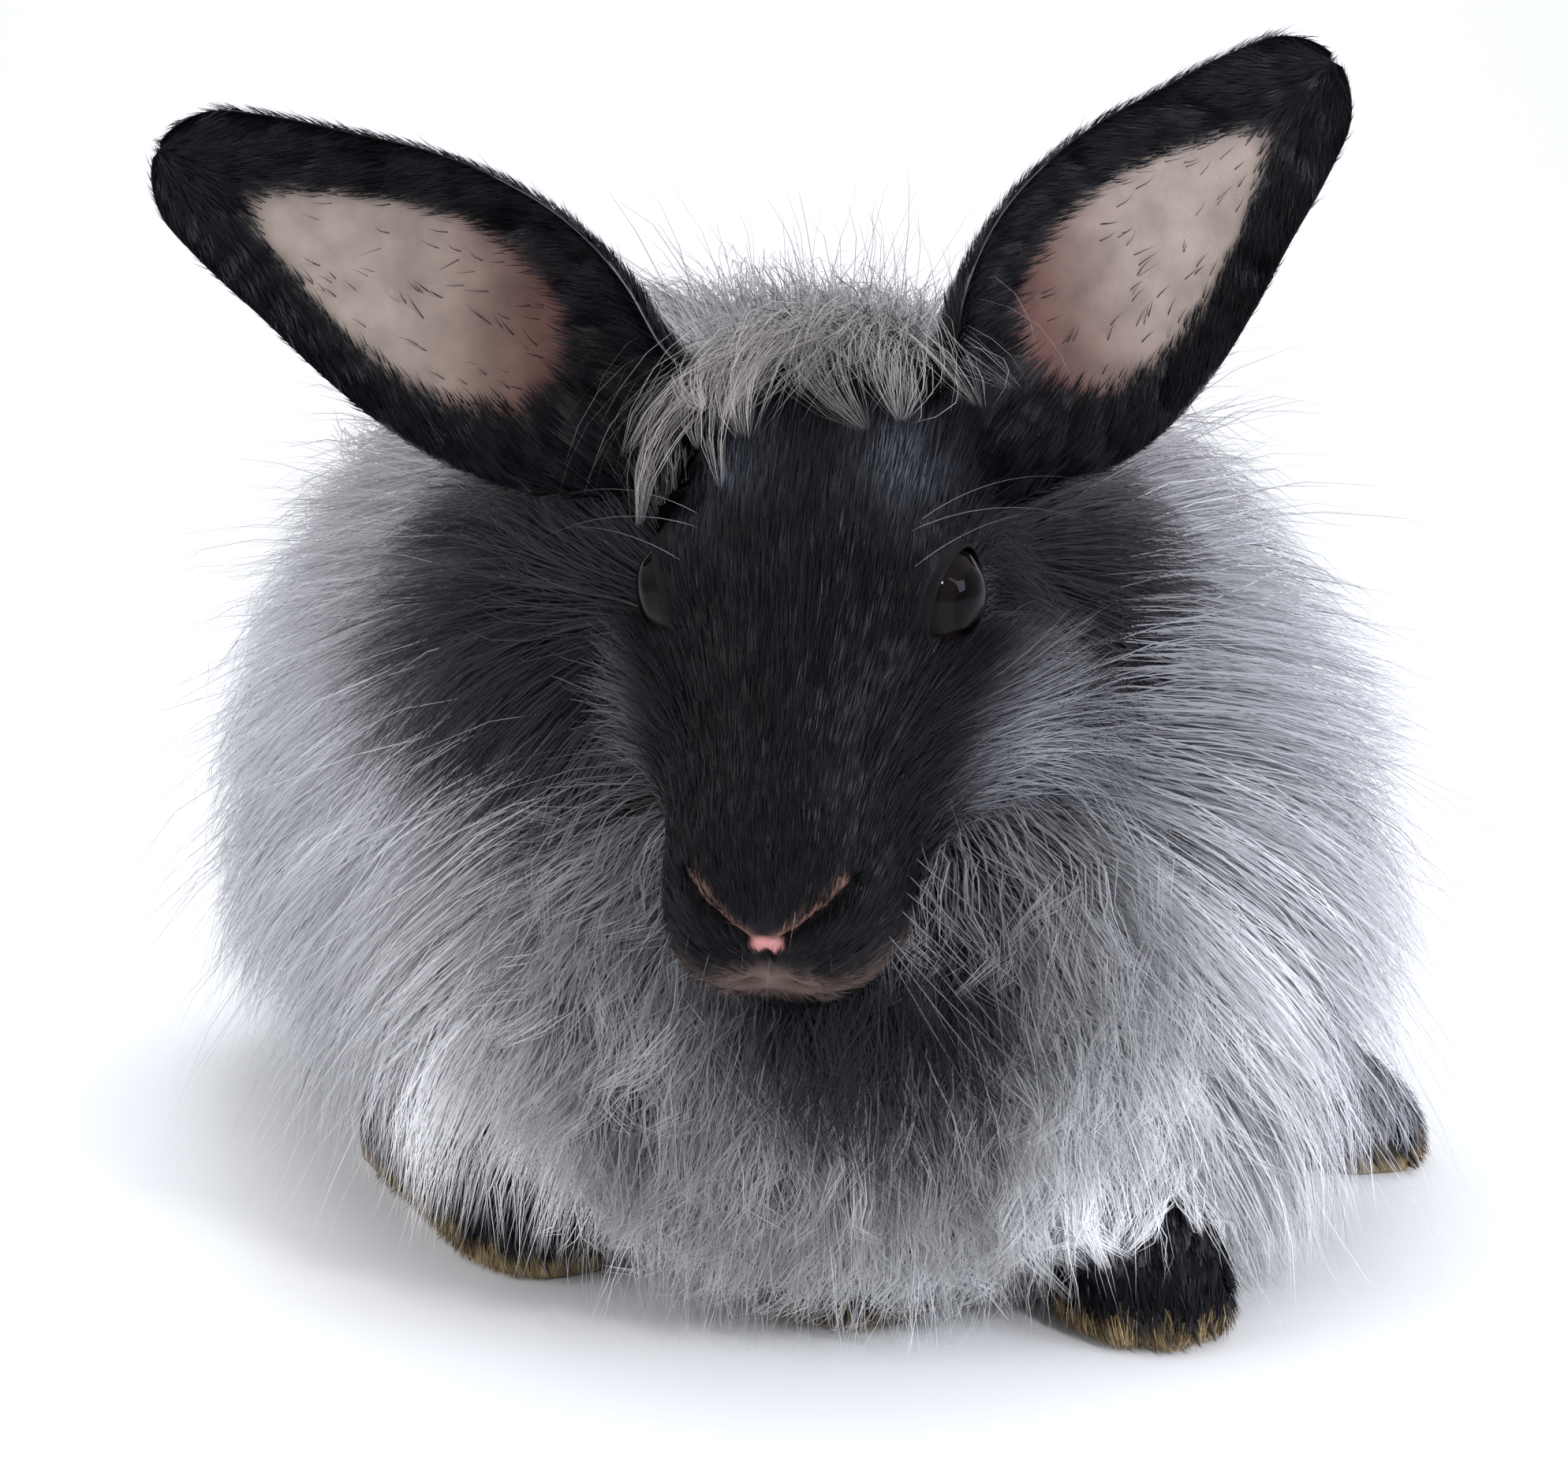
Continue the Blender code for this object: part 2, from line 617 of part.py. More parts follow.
# Ground of each ear: behind its front, before its back, beyond the skull.
ear_grounds = []
for ear in (EAR_RIGHT, EAR_LEFT):
    base, tip = np.array(ear[0]), np.array(ear[1])
    axis = unit(tip - base)
    front = unit(np.array(ear[2]) - (np.array(ear[2]) @ axis) * axis)
    behind, before = (base - front * 17.0, -front), (base + front * 12.0, front)
    ear_grounds.append([behind, before, (base - axis * 14.0, -axis)])

# Ears: a cupped leaf of skin, its rims turned forward, cut to the head's skin at the root.


def ear_point(ear, share, across, skin, grow):
    """A point of an ear. Across runs -1 to 1 over its width, and skin is 0 inside the cup or 1 behind."""
    base, tip, opening, bow = [np.asarray(value, float) for value in ear]
    share, across, skin = np.broadcast_arrays(share, across, skin)
    flat = share.ravel()
    half, depth = smooth_table(EAR_SECTIONS, flat).T
    axis = unit(tip - base)
    front = unit(opening - (opening @ axis) * axis)
    side = np.cross(axis, front)
    length = np.linalg.norm(tip - base)
    a = across.ravel()
    bend = bow * np.sin(np.pi * np.clip(flat, 0, 1))
    middle = base + flat[:, None] * length * axis - bend[:, None] * front
    skin = skin.ravel()
    half = half + grow * (2 * skin - 1)
    back = depth * (1 - a**2) + EAR_THICKNESS * skin * (1 - 0.75 * a**6)
    back += grow * ((2 * skin - 1) * (1 - a**6) - a**6)
    sideways, behind = half * np.sin(a * np.pi / 2.15), back - depth * 0.45
    points = middle + sideways[:, None] * side - behind[:, None] * front
    return points.reshape(share.shape + (3,))


def ear_shell(name, ear, grow=0.0):
    """The leaf as one closed loft of flattened rings."""
    share = np.linspace(-0.14, 1.0, EAR_RINGS)
    across = np.linspace(-1.0, 1.0, EAR_SPANS)
    rings = []
    for s in share:
        inside = ear_point(ear, s, across, 0.0, grow)
        outside = ear_point(ear, s, across[::-1], 1.0, grow)
        rings.append(np.concatenate([inside, outside]))
    return loft(name, rings)


ears = {}
for name, ear in (("ear_right", EAR_RIGHT), ("ear_left", EAR_LEFT)):
    ears[name] = ear_shell(name, ear)


def ear_cutters():
    """Both ears a little grown and without their roots, to cut locks clear of them."""
    made = []
    for ear in (EAR_RIGHT, EAR_LEFT):
        cutter = ear_shell("ear_cutter", ear, GAP)
        combine(cutter, [head_core(GAP / 2)], "DIFFERENCE")
        made.append(cutter)
    return made


head = head_core()
combine(head, [lid_ring(1), lid_ring(-1)] + head_locks(), "UNION")
sockets = [ball("socket", eye_frame(side)[0], EYE_RADIUS + GAP, 14) for side in (1, -1)]
grooves = [groove("lip_split", LIP_SPLIT, 1)]
for side in (1, -1):
    grooves += [groove("nostril", NOSTRIL, side), groove("mouth", MOUTH, side)]
combine(head, sockets + grooves + ear_cutters(), "DIFFERENCE")


def half_space(name, plane, reach=400.0):
    """A great block on the outer side of a plane."""
    point, outward = plane
    side = unit(np.cross(outward, (0.31, 0.2, 0.93)))
    other = np.cross(outward, side)
    ring = [point + reach * (a * side + b * other) for a, b in ((1, 1), (-1, 1), (-1, -1), (1, -1))]
    return loft(name, [ring, [p + outward * reach for p in ring]])


combine(head, [half_space("behind_poll", poll_plane), half_space("under_jaw", jaw_plane)], "DIFFERENCE")

eyes = {}
for name, side in (("eye_left", 1), ("eye_right", -1)):
    eyes[name] = ball(name, eye_frame(side)[0], EYE_RADIUS, 14)


# Trunk: a loft along the body axis, with wool in tiers from the shoulders to the rump.


def torso_surface(forward, angle, grow=0.0):
    """Points of the trunk's core in the world. Forward is along the body; the angle starts at the left."""
    forward, angle = np.broadcast_arrays(np.asarray(forward, float), np.asarray(angle, float))
    shape = forward.shape
    forward, angle = forward.ravel(), angle.ravel()
    half, top, under = smooth_table(TORSO_SECTIONS, forward).T
    c, s = np.cos(angle), np.sin(angle)
    middle = under + (top - under) * 0.42
    across = (half + grow) * np.sign(c) * np.abs(c) ** 0.9
    above, below = (top - middle + grow) * np.abs(s) ** 0.9, (under - middle - grow) * np.abs(s) ** 0.72
    height = np.maximum(middle + np.where(s > 0, above, below), 0.0)
    return body_to_world(np.stack([across, -forward, height], axis=1)).reshape(shape + (3,))


def on_torso(forward, angle):
    """A point of the trunk's core with its outward normal."""
    point = torso_surface(forward, angle)
    along = torso_surface(forward - 2.0, angle) - torso_surface(forward + 2.0, angle)
    round_it = torso_surface(forward, angle + 0.03) - torso_surface(forward, angle - 0.03)
    normal = unit(np.cross(round_it, along))
    centre = body_to_world([0.0, -np.clip(forward, -70.0, 80.0), 60.0])
    return point, normal * np.sign((point - centre) @ normal)


withers_plane = (np.array(WITHERS_PLANE[0]), unit(BODY_TURN @ np.array(WITHERS_PLANE[1])))
bib_plane = (np.array(BIB_PLANE[0]), unit(BODY_TURN @ np.array(BIB_PLANE[1])))
neck_ground = [withers_plane, bib_plane]


def box_planes(centre, half, low, high):
    """Planes of an upright box: its centre on the floor, half sizes across and along, and its heights."""
    centre = np.array([centre[0], centre[1], 0.0])
    side, back = BODY_TURN[:, 0], BODY_TURN[:, 1]
    planes = [
        (centre + side * half[0], side),
        (centre - side * half[0], -side),
        (centre + back * half[1], back),
        (centre - back * half[1], -back),
        (np.array([0.0, 0.0, high]), np.array([0.0, 0.0, 1.0])),
    ]
    if low > 0:
        planes.append((np.array([0.0, 0.0, low]), np.array([0.0, 0.0, -1.0])))
    return planes


paw_grounds = [
    box_planes(centre, (FOREPAW_SIZE[0] / 2 + 1.5, FOREPAW_SIZE[1] / 2 + 2.0), 0.0, FOREPAW_SIZE[2] + 3.0)
    for centre, _ in FOREPAWS.values()
]
tail_centre = body_to_world([0.0, 60.0 - TAIL_ROOT[0], 0.0])[:2]
tail_ground = box_planes(tail_centre, (TAIL_BOX[0], 60.0 + 2.0), TAIL_BOX[1], TAIL_BOX[2])


def past_neck(point):
    """How far a point lies outside the neck's ground."""
    return max((point - p) @ n for p, n in neck_ground)


def torso_lock(forward, angle):
    """One lock that flows back and down over the trunk, if it roots on the trunk's own ground."""
    root, normal = on_torso(forward, angle)
    ahead = past_neck(root)
    if normal[2] < -0.72 or root[2] < 6.0 or ahead < 2.0:
        return []
    collar = np.clip(1.0 - ahead / 30.0, 0.0, 1.0)
    low = np.clip((60.0 - root[2]) / 50.0, 0.0, 1.0)
    fall = (1.0 - normal[2]) * (0.9 + 0.5 * low)
    lie = BODY_TURN[:, 1] * (1.0 - 0.4 * collar) + np.array([0.0, 0.0, -1.0]) * fall
    lie = unit(lie - (lie @ normal) * normal)
    length = (WOOL_LENGTH - 14.0 * low) * rng.uniform(0.86, 1.1)
    size = (length, WOOL_SPACING * rng.uniform(1.05, 1.3), WOOL_THICKNESS)
    rise = (WOOL_RISE[0] - 14.0 * low + 14.0 * collar, WOOL_RISE[1] + 12.0 * collar)
    grounds = [neck_ground, tail_ground] + paw_grounds
    return [lock("wool", root, normal, lie, size, rise, WOOL_DROOP, grounds, (), rng.normal(0, 0.16), 8.0)]


def torso_locks():
    """Tiers of long locks from the rump to the chest, and a collar row close behind the neck."""
    made = []
    for tier, forward in enumerate(np.arange(-92.0, 138.0, WOOL_SPACING * 0.84)):
        ring = torso_surface(forward, np.linspace(0, 2 * np.pi, 60))
        girth = np.linalg.norm(np.diff(ring, axis=0), axis=1).sum()
        count = max(int(girth / WOOL_SPACING), 5)
        for place in range(count):
            angle = 2 * np.pi * (place + 0.5 * (tier % 2) + rng.normal(0, 0.08)) / count
            made += torso_lock(forward + rng.normal(0, 2.0), angle)
    for angle in np.radians(np.arange(*COLLAR_SPAN)):
        behind = (f for f in np.arange(132.0, 40.0, -2.0) if past_neck(torso_surface(f, angle)) > 5.0)
        made += torso_lock(next(behind, 40.0), angle)
    return made


def torso_core():
    """The trunk without its locks, as a loft."""
    angle = np.linspace(0, 2 * np.pi, TORSO_SPOKES, endpoint=False)
    return loft("torso_core", [torso_surface(forward, angle) for forward in TORSO_RINGS])


torso = torso_core()
combine(torso, torso_locks(), "UNION")


# Neck: the front of the trunk, a cone up to the poll and the bib, with the ruff rooted on them.


def neck_surface(share, angle):
    """Points of the neck's cone in the world, by share of the way back and angle from the left."""
    share, angle = np.broadcast_arrays(np.asarray(share, float), np.asarray(angle, float))
    x, y, z, half, tall = smooth_table(NECK_SECTIONS, share.ravel()).T
    lean = np.radians(np.interp(share.ravel(), (0.0, 1.0), NECK_LEAN))
    across, up = half * np.cos(angle.ravel()), tall * np.sin(angle.ravel())
    points = np.stack([x + across, y - up * np.sin(lean), z + up * np.cos(lean)], axis=1)
    points[:, 1] += across * np.sin(np.radians(BODY_YAW))
    return points.reshape(share.shape + (3,))


def bib_surface(polar, angle):
    """Points of the bib's egg in the world, by angle down from its top and round it."""
    polar, angle = np.broadcast_arrays(np.asarray(polar, float), np.asarray(angle, float))
    way = np.stack([np.sin(polar) * np.cos(angle), np.sin(polar) * np.sin(angle), np.cos(polar)], -1)
    return np.array(BIB_CENTRE) + way * BIB_HALF


def ruff_lock(root, normal, size, rise, forward):
    """One lock of the ruff, spreading away from the face and falling, if it roots on the neck's ground."""
    if past_head(root) < 1.5 or max((root - p) @ n for p, n in neck_ground) > -2.0:
        return []
    away = unit(root - head_to_world([0.0, 30.0, -5.0]))
    lie = away + np.array([0.0, 0.0, -1.0]) * (0.8 - 0.6 * normal[2]) + np.array([0.0, -1.0, 0.0]) * forward
    lie = unit(lie - (lie @ normal) * normal)
    grounds = [head_ground] + ear_grounds + paw_grounds
    twist = rng.normal(0, 0.15)
    return [lock("ruff", root, normal, lie, size, rise, RUFF_DROOP, grounds, neck_ground, twist, 7.0)]


def past_head(point):
    """How far a point lies outside the head's ground."""
    return max((point - p) @ n for p, n in head_ground)


def neck_locks():
    """The ruff round the face and nape in tiers, and the bib that hangs before the chest."""
    made = []
    for tier, (count, step) in enumerate(((12, 0.0), (12, 0.36), (12, 0.72))):
        for place in range(count):
            angle = 2 * np.pi * (place + 0.5 * (tier % 2) + rng.normal(0, 0.06)) / count
            edge = next((a for a in np.linspace(0.0, 0.9, 46) if past_head(neck_surface(a, angle)) > 2.5), 0.9)
            share = edge + step * (0.94 - edge)
            root = neck_surface(share, angle)
            along = neck_surface(share + 0.02, angle) - neck_surface(share - 0.02, angle)
            round_it = neck_surface(share, angle + 0.02) - neck_surface(share, angle - 0.02)
            normal = unit(np.cross(round_it, along))
            normal = normal * np.sign((root - neck_surface(share, angle + np.pi)) @ normal)
            nape = np.clip(normal[2], 0.0, 1.0)
            size = (rng.uniform(*RUFF_LENGTH), RUFF_SPACING * rng.uniform(1.0, 1.2), RUFF_THICKNESS)
            rise = (RUFF_RISE[0] + 14.0 * nape, RUFF_RISE[1] + 16.0 * nape)
            made += ruff_lock(root, normal, size, rise, 0.0)
    for tier, polar in enumerate(np.radians([62.0, 90.0, 118.0])):
        count = int(2 * np.pi * np.sin(polar) * 32.0 / 19.0)
        for place in range(count):
            angle = 2 * np.pi * (place + 0.5 * (tier % 2) + rng.normal(0, 0.06)) / count
            root = bib_surface(polar, angle)
            normal = unit((root - BIB_CENTRE) / np.array(BIB_HALF) ** 2)
            size = (rng.uniform(*BIB_LENGTH), RUFF_SPACING * rng.uniform(1.1, 1.25), RUFF_THICKNESS)
            made += ruff_lock(root, normal, size, BIB_RISE, 0.1)
    return made


around = np.linspace(0, 2 * np.pi, 20, endpoint=False)
neck = torso_core()
cone = loft("neck_cone", [neck_surface(share, around) for share in np.linspace(0.0, 1.0, 7)])
bib = loft("bib", [bib_surface(polar, around[::2]) for polar in np.linspace(0.3, np.pi - 0.3, 7)])
combine(neck, [cone, bib] + neck_locks(), "UNION")
combine(neck, [half_space("behind_withers", withers_plane), half_space("under_bib", bib_plane)], "DIFFERENCE")
head_block = wedge("head_block", head_ground, HEAD_TURN[:, 0], GAP)
combine(neck, [head_block] + ear_cutters(), "DIFFERENCE")
neck_block = wedge("neck_block", neck_ground, BODY_TURN[:, 0], GAP)
combine(torso, [neck_block], "DIFFERENCE")


# Legs: a foreleg is a paw and wrist that rise into the chest, a hind leg a long foot with its hock.


def foreleg(centre, yaw, grow=0.0):
    """A paw with a flat sole, its wrist rising and leaning back into the chest."""
    wide, long, high = FOREPAW_SIZE
    radius, top = FORELEG_TOP
    table = (
        (0.0, wide / 2 - 2.5, long / 2 - 3.0, 0.0),
        (2.0, wide / 2 - 0.5, long / 2 - 0.8, 0.0),
        (7.0, wide / 2, long / 2, 0.0),
        (13.0, wide / 2 - 1.0, long / 2 - 3.0, 2.0),
        (high, radius + 1.0, radius + 3.0, 6.0),
        (30.0, radius, radius, 9.0),
        (top, radius + 1.0, radius + 1.0, 14.0),
    )
    angle = np.linspace(0, 2 * np.pi, 18, endpoint=False)
    rings = []
    for z, half_wide, half_long, lean in table:
        c, s = np.cos(angle), np.sin(angle)
        x = (half_wide + grow) * np.sign(c) * np.abs(c) ** 0.85
        toes = 1.0 + 0.045 * np.cos(4 * np.arctan2(x, 14.0) * 2.2) * (z < 14.0)
        y = (half_long + grow) * s * toes + lean
        rings.append(np.stack([x, y, np.full_like(x, z)], 1))
    rings = np.array(rings)
    rings[0, :, 2] -= grow
    rings[-1, :, 2] += grow
    spin = turn(0.0, yaw + BODY_YAW)
    return loft("foreleg", rings @ spin.T + np.array([centre[0], centre[1], 0.0]))


def hind_leg(toe, heel, grow=0.0):
    """A long foot flat on the floor, rounded at the toes, with the hock rising at its back."""
    toe, heel = np.array([*toe, 0.0]), np.array([*heel, 0.0])
    wide, high = HIND_FOOT_SIZE
    back = unit(heel - toe)
    side = np.cross((0.0, 0.0, 1.0), back)
    length = np.linalg.norm(heel - toe)
    table = (
        (0.0, 0.45, 0.42),
        (0.05, 0.78, 0.66),
        (0.14, 1.0, 0.86),
        (0.3, 1.0, 0.96),
        (0.5, 0.9, 1.0),
        (0.72, 0.84, 1.1),
        (0.88, 0.8, 1.12),
        (0.97, 0.66, 0.95),
        (1.0, 0.42, 0.7),
    )
    angle = np.linspace(0, 2 * np.pi, 16, endpoint=False)
    rings = []
    for share, across, up in table:
        c, s = np.cos(angle), np.sin(angle)
        half, tall = wide / 2 * across + grow, high * up
        x = half * np.sign(c) * np.abs(c) ** 0.8
        z = np.where(s > -0.35, (s + 0.35) / 1.35 * (tall + 2.0 * grow), 0.0) - grow
        at = toe + back * (length * share + grow * np.sign(share - 0.5))
        rings.append(at + x[:, None] * side + np.stack([0 * z, 0 * z, z], 1))
    foot = loft("foot", rings)
    radius, top, inward = HOCK_TOP
    body = unit((np.array(BODY_MIDDLE) - heel) * (1.0, 1.0, 0.0)) * inward
    line = [
        heel - back * 20.0 + [0, 0, 8.0],
        heel - back * 25.0 + body * 0.35 + [0, 0, 20.0],
        heel - back * 30.0 + body + [0, 0, top],
    ]
    shank = tube("shank", line, np.array([radius * 0.75, radius * 0.85, radius]) + grow, 1.0, 10, back)
    combine(foot, [shank], "UNION")
    return foot


def claws(centre, back, side, spread, height, grow=0.0):
    """Small curved claws that stand out before the toes."""
    made = []
    for place in np.linspace(-1.0, 1.0, CLAWS):
        root = centre + side * spread * place + np.array([0.0, 0.0, height]) + back * (2.2 * place**2 + 4.0)
        share = np.linspace(0.0, 1.0, 3)[:, None]
        line = root - back * (CLAW[1] + 4.0 + grow) * share
        line[:, 2] -= (height - 1.6) * share[:, 0] ** 2
        made.append(tube("claw", line, CLAW[0] * np.array([1.0, 0.85, 0.3]) + grow, 0.8, 5))
    return made


def forepaw(centre, yaw, grow=0.0):
    """A foreleg with its claws, as pieces."""
    spin = turn(0.0, yaw + BODY_YAW)
    middle = np.array([centre[0], centre[1], 0.0]) - spin[:, 1] * (FOREPAW_SIZE[1] / 2 - 0.5)
    return [foreleg(centre, yaw, grow)] + claws(middle, spin[:, 1], spin[:, 0], 7.5, 5.0, grow)


def hind_foot(toe, heel, grow=0.0):
    """A hind leg with its claws, as pieces."""
    back = unit(np.array([heel[0] - toe[0], heel[1] - toe[1], 0.0]))
    side = np.cross((0.0, 0.0, 1.0), back)
    return [hind_leg(toe, heel, grow)] + claws(np.array([*toe, 0.0]) + back, back, side, 6.5, 5.0, grow)


legs = {}
for name, place in {**FOREPAWS, **HIND_FEET}.items():
    shape = forepaw if name in FOREPAWS else hind_foot
    legs[name], *claw_tubes = shape(*place)
    combine(legs[name], claw_tubes, "UNION")
    combine(torso, shape(*place, LOCK_GAP), "DIFFERENCE")
    if name in FOREPAWS:
        combine(neck, shape(*place, LOCK_GAP), "DIFFERENCE")


# Tail: a short scut that curls up against the rump, thick with wool.

tail_base = body_to_world([0.0, -TAIL_ROOT[0] + 2.0, TAIL_ROOT[1]])
tail_back = BODY_TURN[:, 1]
tail_share = np.array([0.0, 0.25, 0.6, 0.85, 1.0])
tail_line = tail_base + tail_share[:, None] * (tail_back * TAIL_LENGTH * 0.75) + (
    tail_share[:, None] ** 2 * np.array([0.0, 0.0, TAIL_LENGTH * 0.6])
)
tail = tube("tail", tail_line, TAIL_RADIUS * np.array([0.8, 1.0, 0.95, 0.7, 0.25]), 0.9, 12)
tail_wool = []
for row, share in enumerate((0.25, 0.7)):
    for place in range(5):
        angle = 2 * np.pi * (place + 0.5 * (row % 2)) / 5
        side = BODY_TURN[:, 0] * np.cos(angle) + np.array([0.0, 0.0, 1.0]) * np.sin(angle)
        root = tail_base + tail_back * TAIL_LENGTH * 0.75 * share + side * TAIL_RADIUS * 0.9
        root[2] += TAIL_LENGTH * 0.6 * share**2
        lie = unit(tail_back + np.array([0.0, 0.0, 0.5]))
        size = (rng.uniform(20.0, 25.0), rng.uniform(16.0, 18.0), 4.0)
        rump = [(tail_base - tail_back * 1.4, -tail_back)]
        tail_wool.append(lock("scut", root, side, lie, size, (34.0, -12.0), 0.1, (), rump, 0.0, 5.0))
combine(tail, tail_wool, "UNION")
rump_plane = (tail_base - tail_back * 2.0, -tail_back)
combine(tail, [half_space("rump", rump_plane)], "DIFFERENCE")
tail_hole = loft("tail_hole", [
    [tail_base - tail_back * (2.0 + GAP) + BODY_TURN[:, 0] * x + np.array([0.0, 0.0, z]) + tail_back * d
     for x, z in ((-29.0, -36.0), (29.0, -36.0), (29.0, 42.0), (-29.0, 42.0))]
    for d in (0.0, 120.0)
])
combine(torso, [tail_hole], "DIFFERENCE")

for made in ears.values():
    combine(made, [head_core(GAP)], "DIFFERENCE")

finish_node(head, "head", BLACK_FUR, 0.7)
finish_node(neck, "neck", GREY_WOOL, 0.9)
finish_node(torso, "torso", GREY_WOOL, 0.9)
finish_node(tail, "tail", GREY_WOOL, 0.9)
for name, made in {**ears, **legs}.items():
    finish_node(made, name, BLACK_FUR, 0.8)
for name, made in eyes.items():
    finish_node(made, name, EYE_BLACK, 0.1)

# Everything is moved so that the floor and the middle of the whole lie at the origin.
corners = np.concatenate([np.array([v.co for v in node.data.vertices]) for node in rabbit.objects])
low, high = corners.min(axis=0), corners.max(axis=0)
shift = -np.array([(low[0] + high[0]) / 2, (low[1] + high[1]) / 2, low[2]])
for node in rabbit.objects:
    for vertex in node.data.vertices:
        vertex.co = vertex.co + type(vertex.co)(shift)
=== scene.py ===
import bpy
import numpy as np
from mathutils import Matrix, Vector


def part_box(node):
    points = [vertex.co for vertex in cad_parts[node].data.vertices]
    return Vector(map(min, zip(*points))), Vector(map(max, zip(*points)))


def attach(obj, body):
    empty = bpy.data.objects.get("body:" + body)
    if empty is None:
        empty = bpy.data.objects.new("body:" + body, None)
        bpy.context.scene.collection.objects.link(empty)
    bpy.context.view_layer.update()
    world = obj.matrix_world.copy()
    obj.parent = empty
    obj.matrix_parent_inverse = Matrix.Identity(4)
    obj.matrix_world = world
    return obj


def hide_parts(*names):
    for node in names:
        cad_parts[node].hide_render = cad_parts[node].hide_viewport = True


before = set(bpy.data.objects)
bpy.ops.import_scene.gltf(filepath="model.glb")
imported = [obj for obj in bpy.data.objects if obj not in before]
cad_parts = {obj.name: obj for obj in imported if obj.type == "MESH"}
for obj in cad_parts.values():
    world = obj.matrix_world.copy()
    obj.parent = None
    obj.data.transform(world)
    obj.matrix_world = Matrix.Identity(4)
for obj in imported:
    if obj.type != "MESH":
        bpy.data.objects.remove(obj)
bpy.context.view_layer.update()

MM = 0.001
rng = np.random.default_rng(41)

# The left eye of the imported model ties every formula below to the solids: sizes are in millimetres on
# the axes of the part's source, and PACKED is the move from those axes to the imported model.
EYE_ON_AXES = np.array([19.939, -117.396, 115.954])
PACKED = np.mean(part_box("eye_left"), axis=0) / MM - EYE_ON_AXES

# Camera
# The photograph was taken from the height of the rabbit's back, looking slightly down its nose. Its width and
# the focal length are in its pixels.
PHOTO_WIDTH = 1988
FOCAL_LENGTH = 4500
SENSOR_WIDTH = 36.0
CAMERA_PLACE = np.array([0.0, -621.0, 180.0])
CAMERA_TILT = 9.5
camera_data = bpy.data.cameras.new("camera")
camera_data.sensor_width = SENSOR_WIDTH
camera_data.lens = SENSOR_WIDTH * FOCAL_LENGTH / PHOTO_WIDTH
camera_data.clip_start = 0.01
camera = bpy.data.objects.new("camera", camera_data)
camera.location = (CAMERA_PLACE + PACKED) * MM
camera.rotation_euler = (np.radians(90.0 - CAMERA_TILT), 0.0, 0.0)
bpy.context.collection.objects.link(camera)
bpy.context.scene.camera = camera

# Studio
# A white sheet that runs under the rabbit and curves up behind it, a bright room and six square lamps.


def linear(hex_colour):
    """Linear RGB of an sRGB hex colour."""
    value = np.array([int(hex_colour[i : i + 2], 16) for i in (1, 3, 5)]) / 255.0
    return np.where(value <= 0.04045, value / 12.92, ((value + 0.055) / 1.055) ** 2.4)


def unit(vectors):
    """Vectors divided by their lengths."""
    return vectors / np.maximum(np.linalg.norm(vectors, axis=-1, keepdims=True), 1e-9)


def matched(*values):
    """The values as arrays of numbers of one shape."""
    return np.broadcast_arrays(*(np.asarray(value, float) for value in values))


def grid_mesh(name, grid, wrap=True, capped=True):
    """A mesh from a grid of points in mm: a face between each four neighbours, also round each row where it
    wraps, and a fan from each end row to its mean where it is capped."""
    rows, columns = grid.shape[:2]
    index = np.arange(rows * columns).reshape(rows, columns)
    if wrap:
        index = np.concatenate([index, index[:, :1]], axis=1)
    quads = np.stack([index[:-1, :-1], index[:-1, 1:], index[1:, 1:], index[1:, :-1]], axis=-1).reshape(-1, 4)
    points, fans = grid.reshape(-1, 3), []
    for end, row in ((0, index[0]), (1, index[-1])):
        if capped:
            pole = np.full(len(row) - 1, len(points))
            points = np.vstack([points, grid[-end].mean(axis=0)])
            pair = (row[1:], row[:-1]) if end == 0 else (row[:-1], row[1:])
            fans += np.stack([*pair, pole], axis=-1).tolist()
    mesh = bpy.data.meshes.new(name)
    mesh.from_pydata(((points + PACKED) * MM).tolist(), [], quads.tolist() + fans)
    return mesh


def add_object(name, mesh, material=None):
    """The mesh as an object at the origin of the scene."""
    made = bpy.data.objects.new(name, mesh)
    bpy.context.collection.objects.link(made)
    if material:
        mesh.materials.append(material)
    return made


def node(tree, kind, settings=(), links=()):
    """Adds one node, sets its values by name, and links sockets given as (input, source socket)."""
    made = tree.nodes.new(kind)
    for key, value in dict(settings).items():
        if isinstance(key, str) and hasattr(made, key):
            setattr(made, key, value)
        else:
            made.inputs[key].default_value = value
    for key, source in dict(links).items():
        tree.links.new(source, made.inputs[key])
    return made


def mapped(tree, source, span, result, kind="LINEAR"):
    """A socket's value moved from one span to another, evenly or by a smooth step."""
    settings = {"interpolation_type": kind, "From Min": span[0], "From Max": span[1]}
    settings.update({"To Min": result[0], "To Max": result[1]})
    return node(tree, "ShaderNodeMapRange", settings, {"Value": source}).outputs["Result"]


def toned(tree, shader, scale, detail, darkest, lightest):
    """Base colour from a mesh's own tones, made darker and lighter in patches by a noise."""
    tone = node(tree, "ShaderNodeAttribute", {"attribute_name": "tone"})
    where = node(tree, "ShaderNodeTexCoord").outputs["Object"]
    noise = node(tree, "ShaderNodeTexNoise", {"Scale": scale, "Detail": detail}, {"Vector": where})
    shade = mapped(tree, noise.outputs["Fac"], (0.3, 0.7), (darkest, lightest))
    mixed = node(tree, "ShaderNodeVectorMath", {"operation": "SCALE"},
                 {"Vector": tone.outputs["Color"], "Scale": shade})
    tree.links.new(mixed.outputs["Vector"], shader.inputs["Base Color"])


def new_material(name):
    """A node material: (material, its tree, its main shader)."""
    made = bpy.data.materials.new(name)
    made.use_nodes = True
    return made, made.node_tree, made.node_tree.nodes["Principled BSDF"]


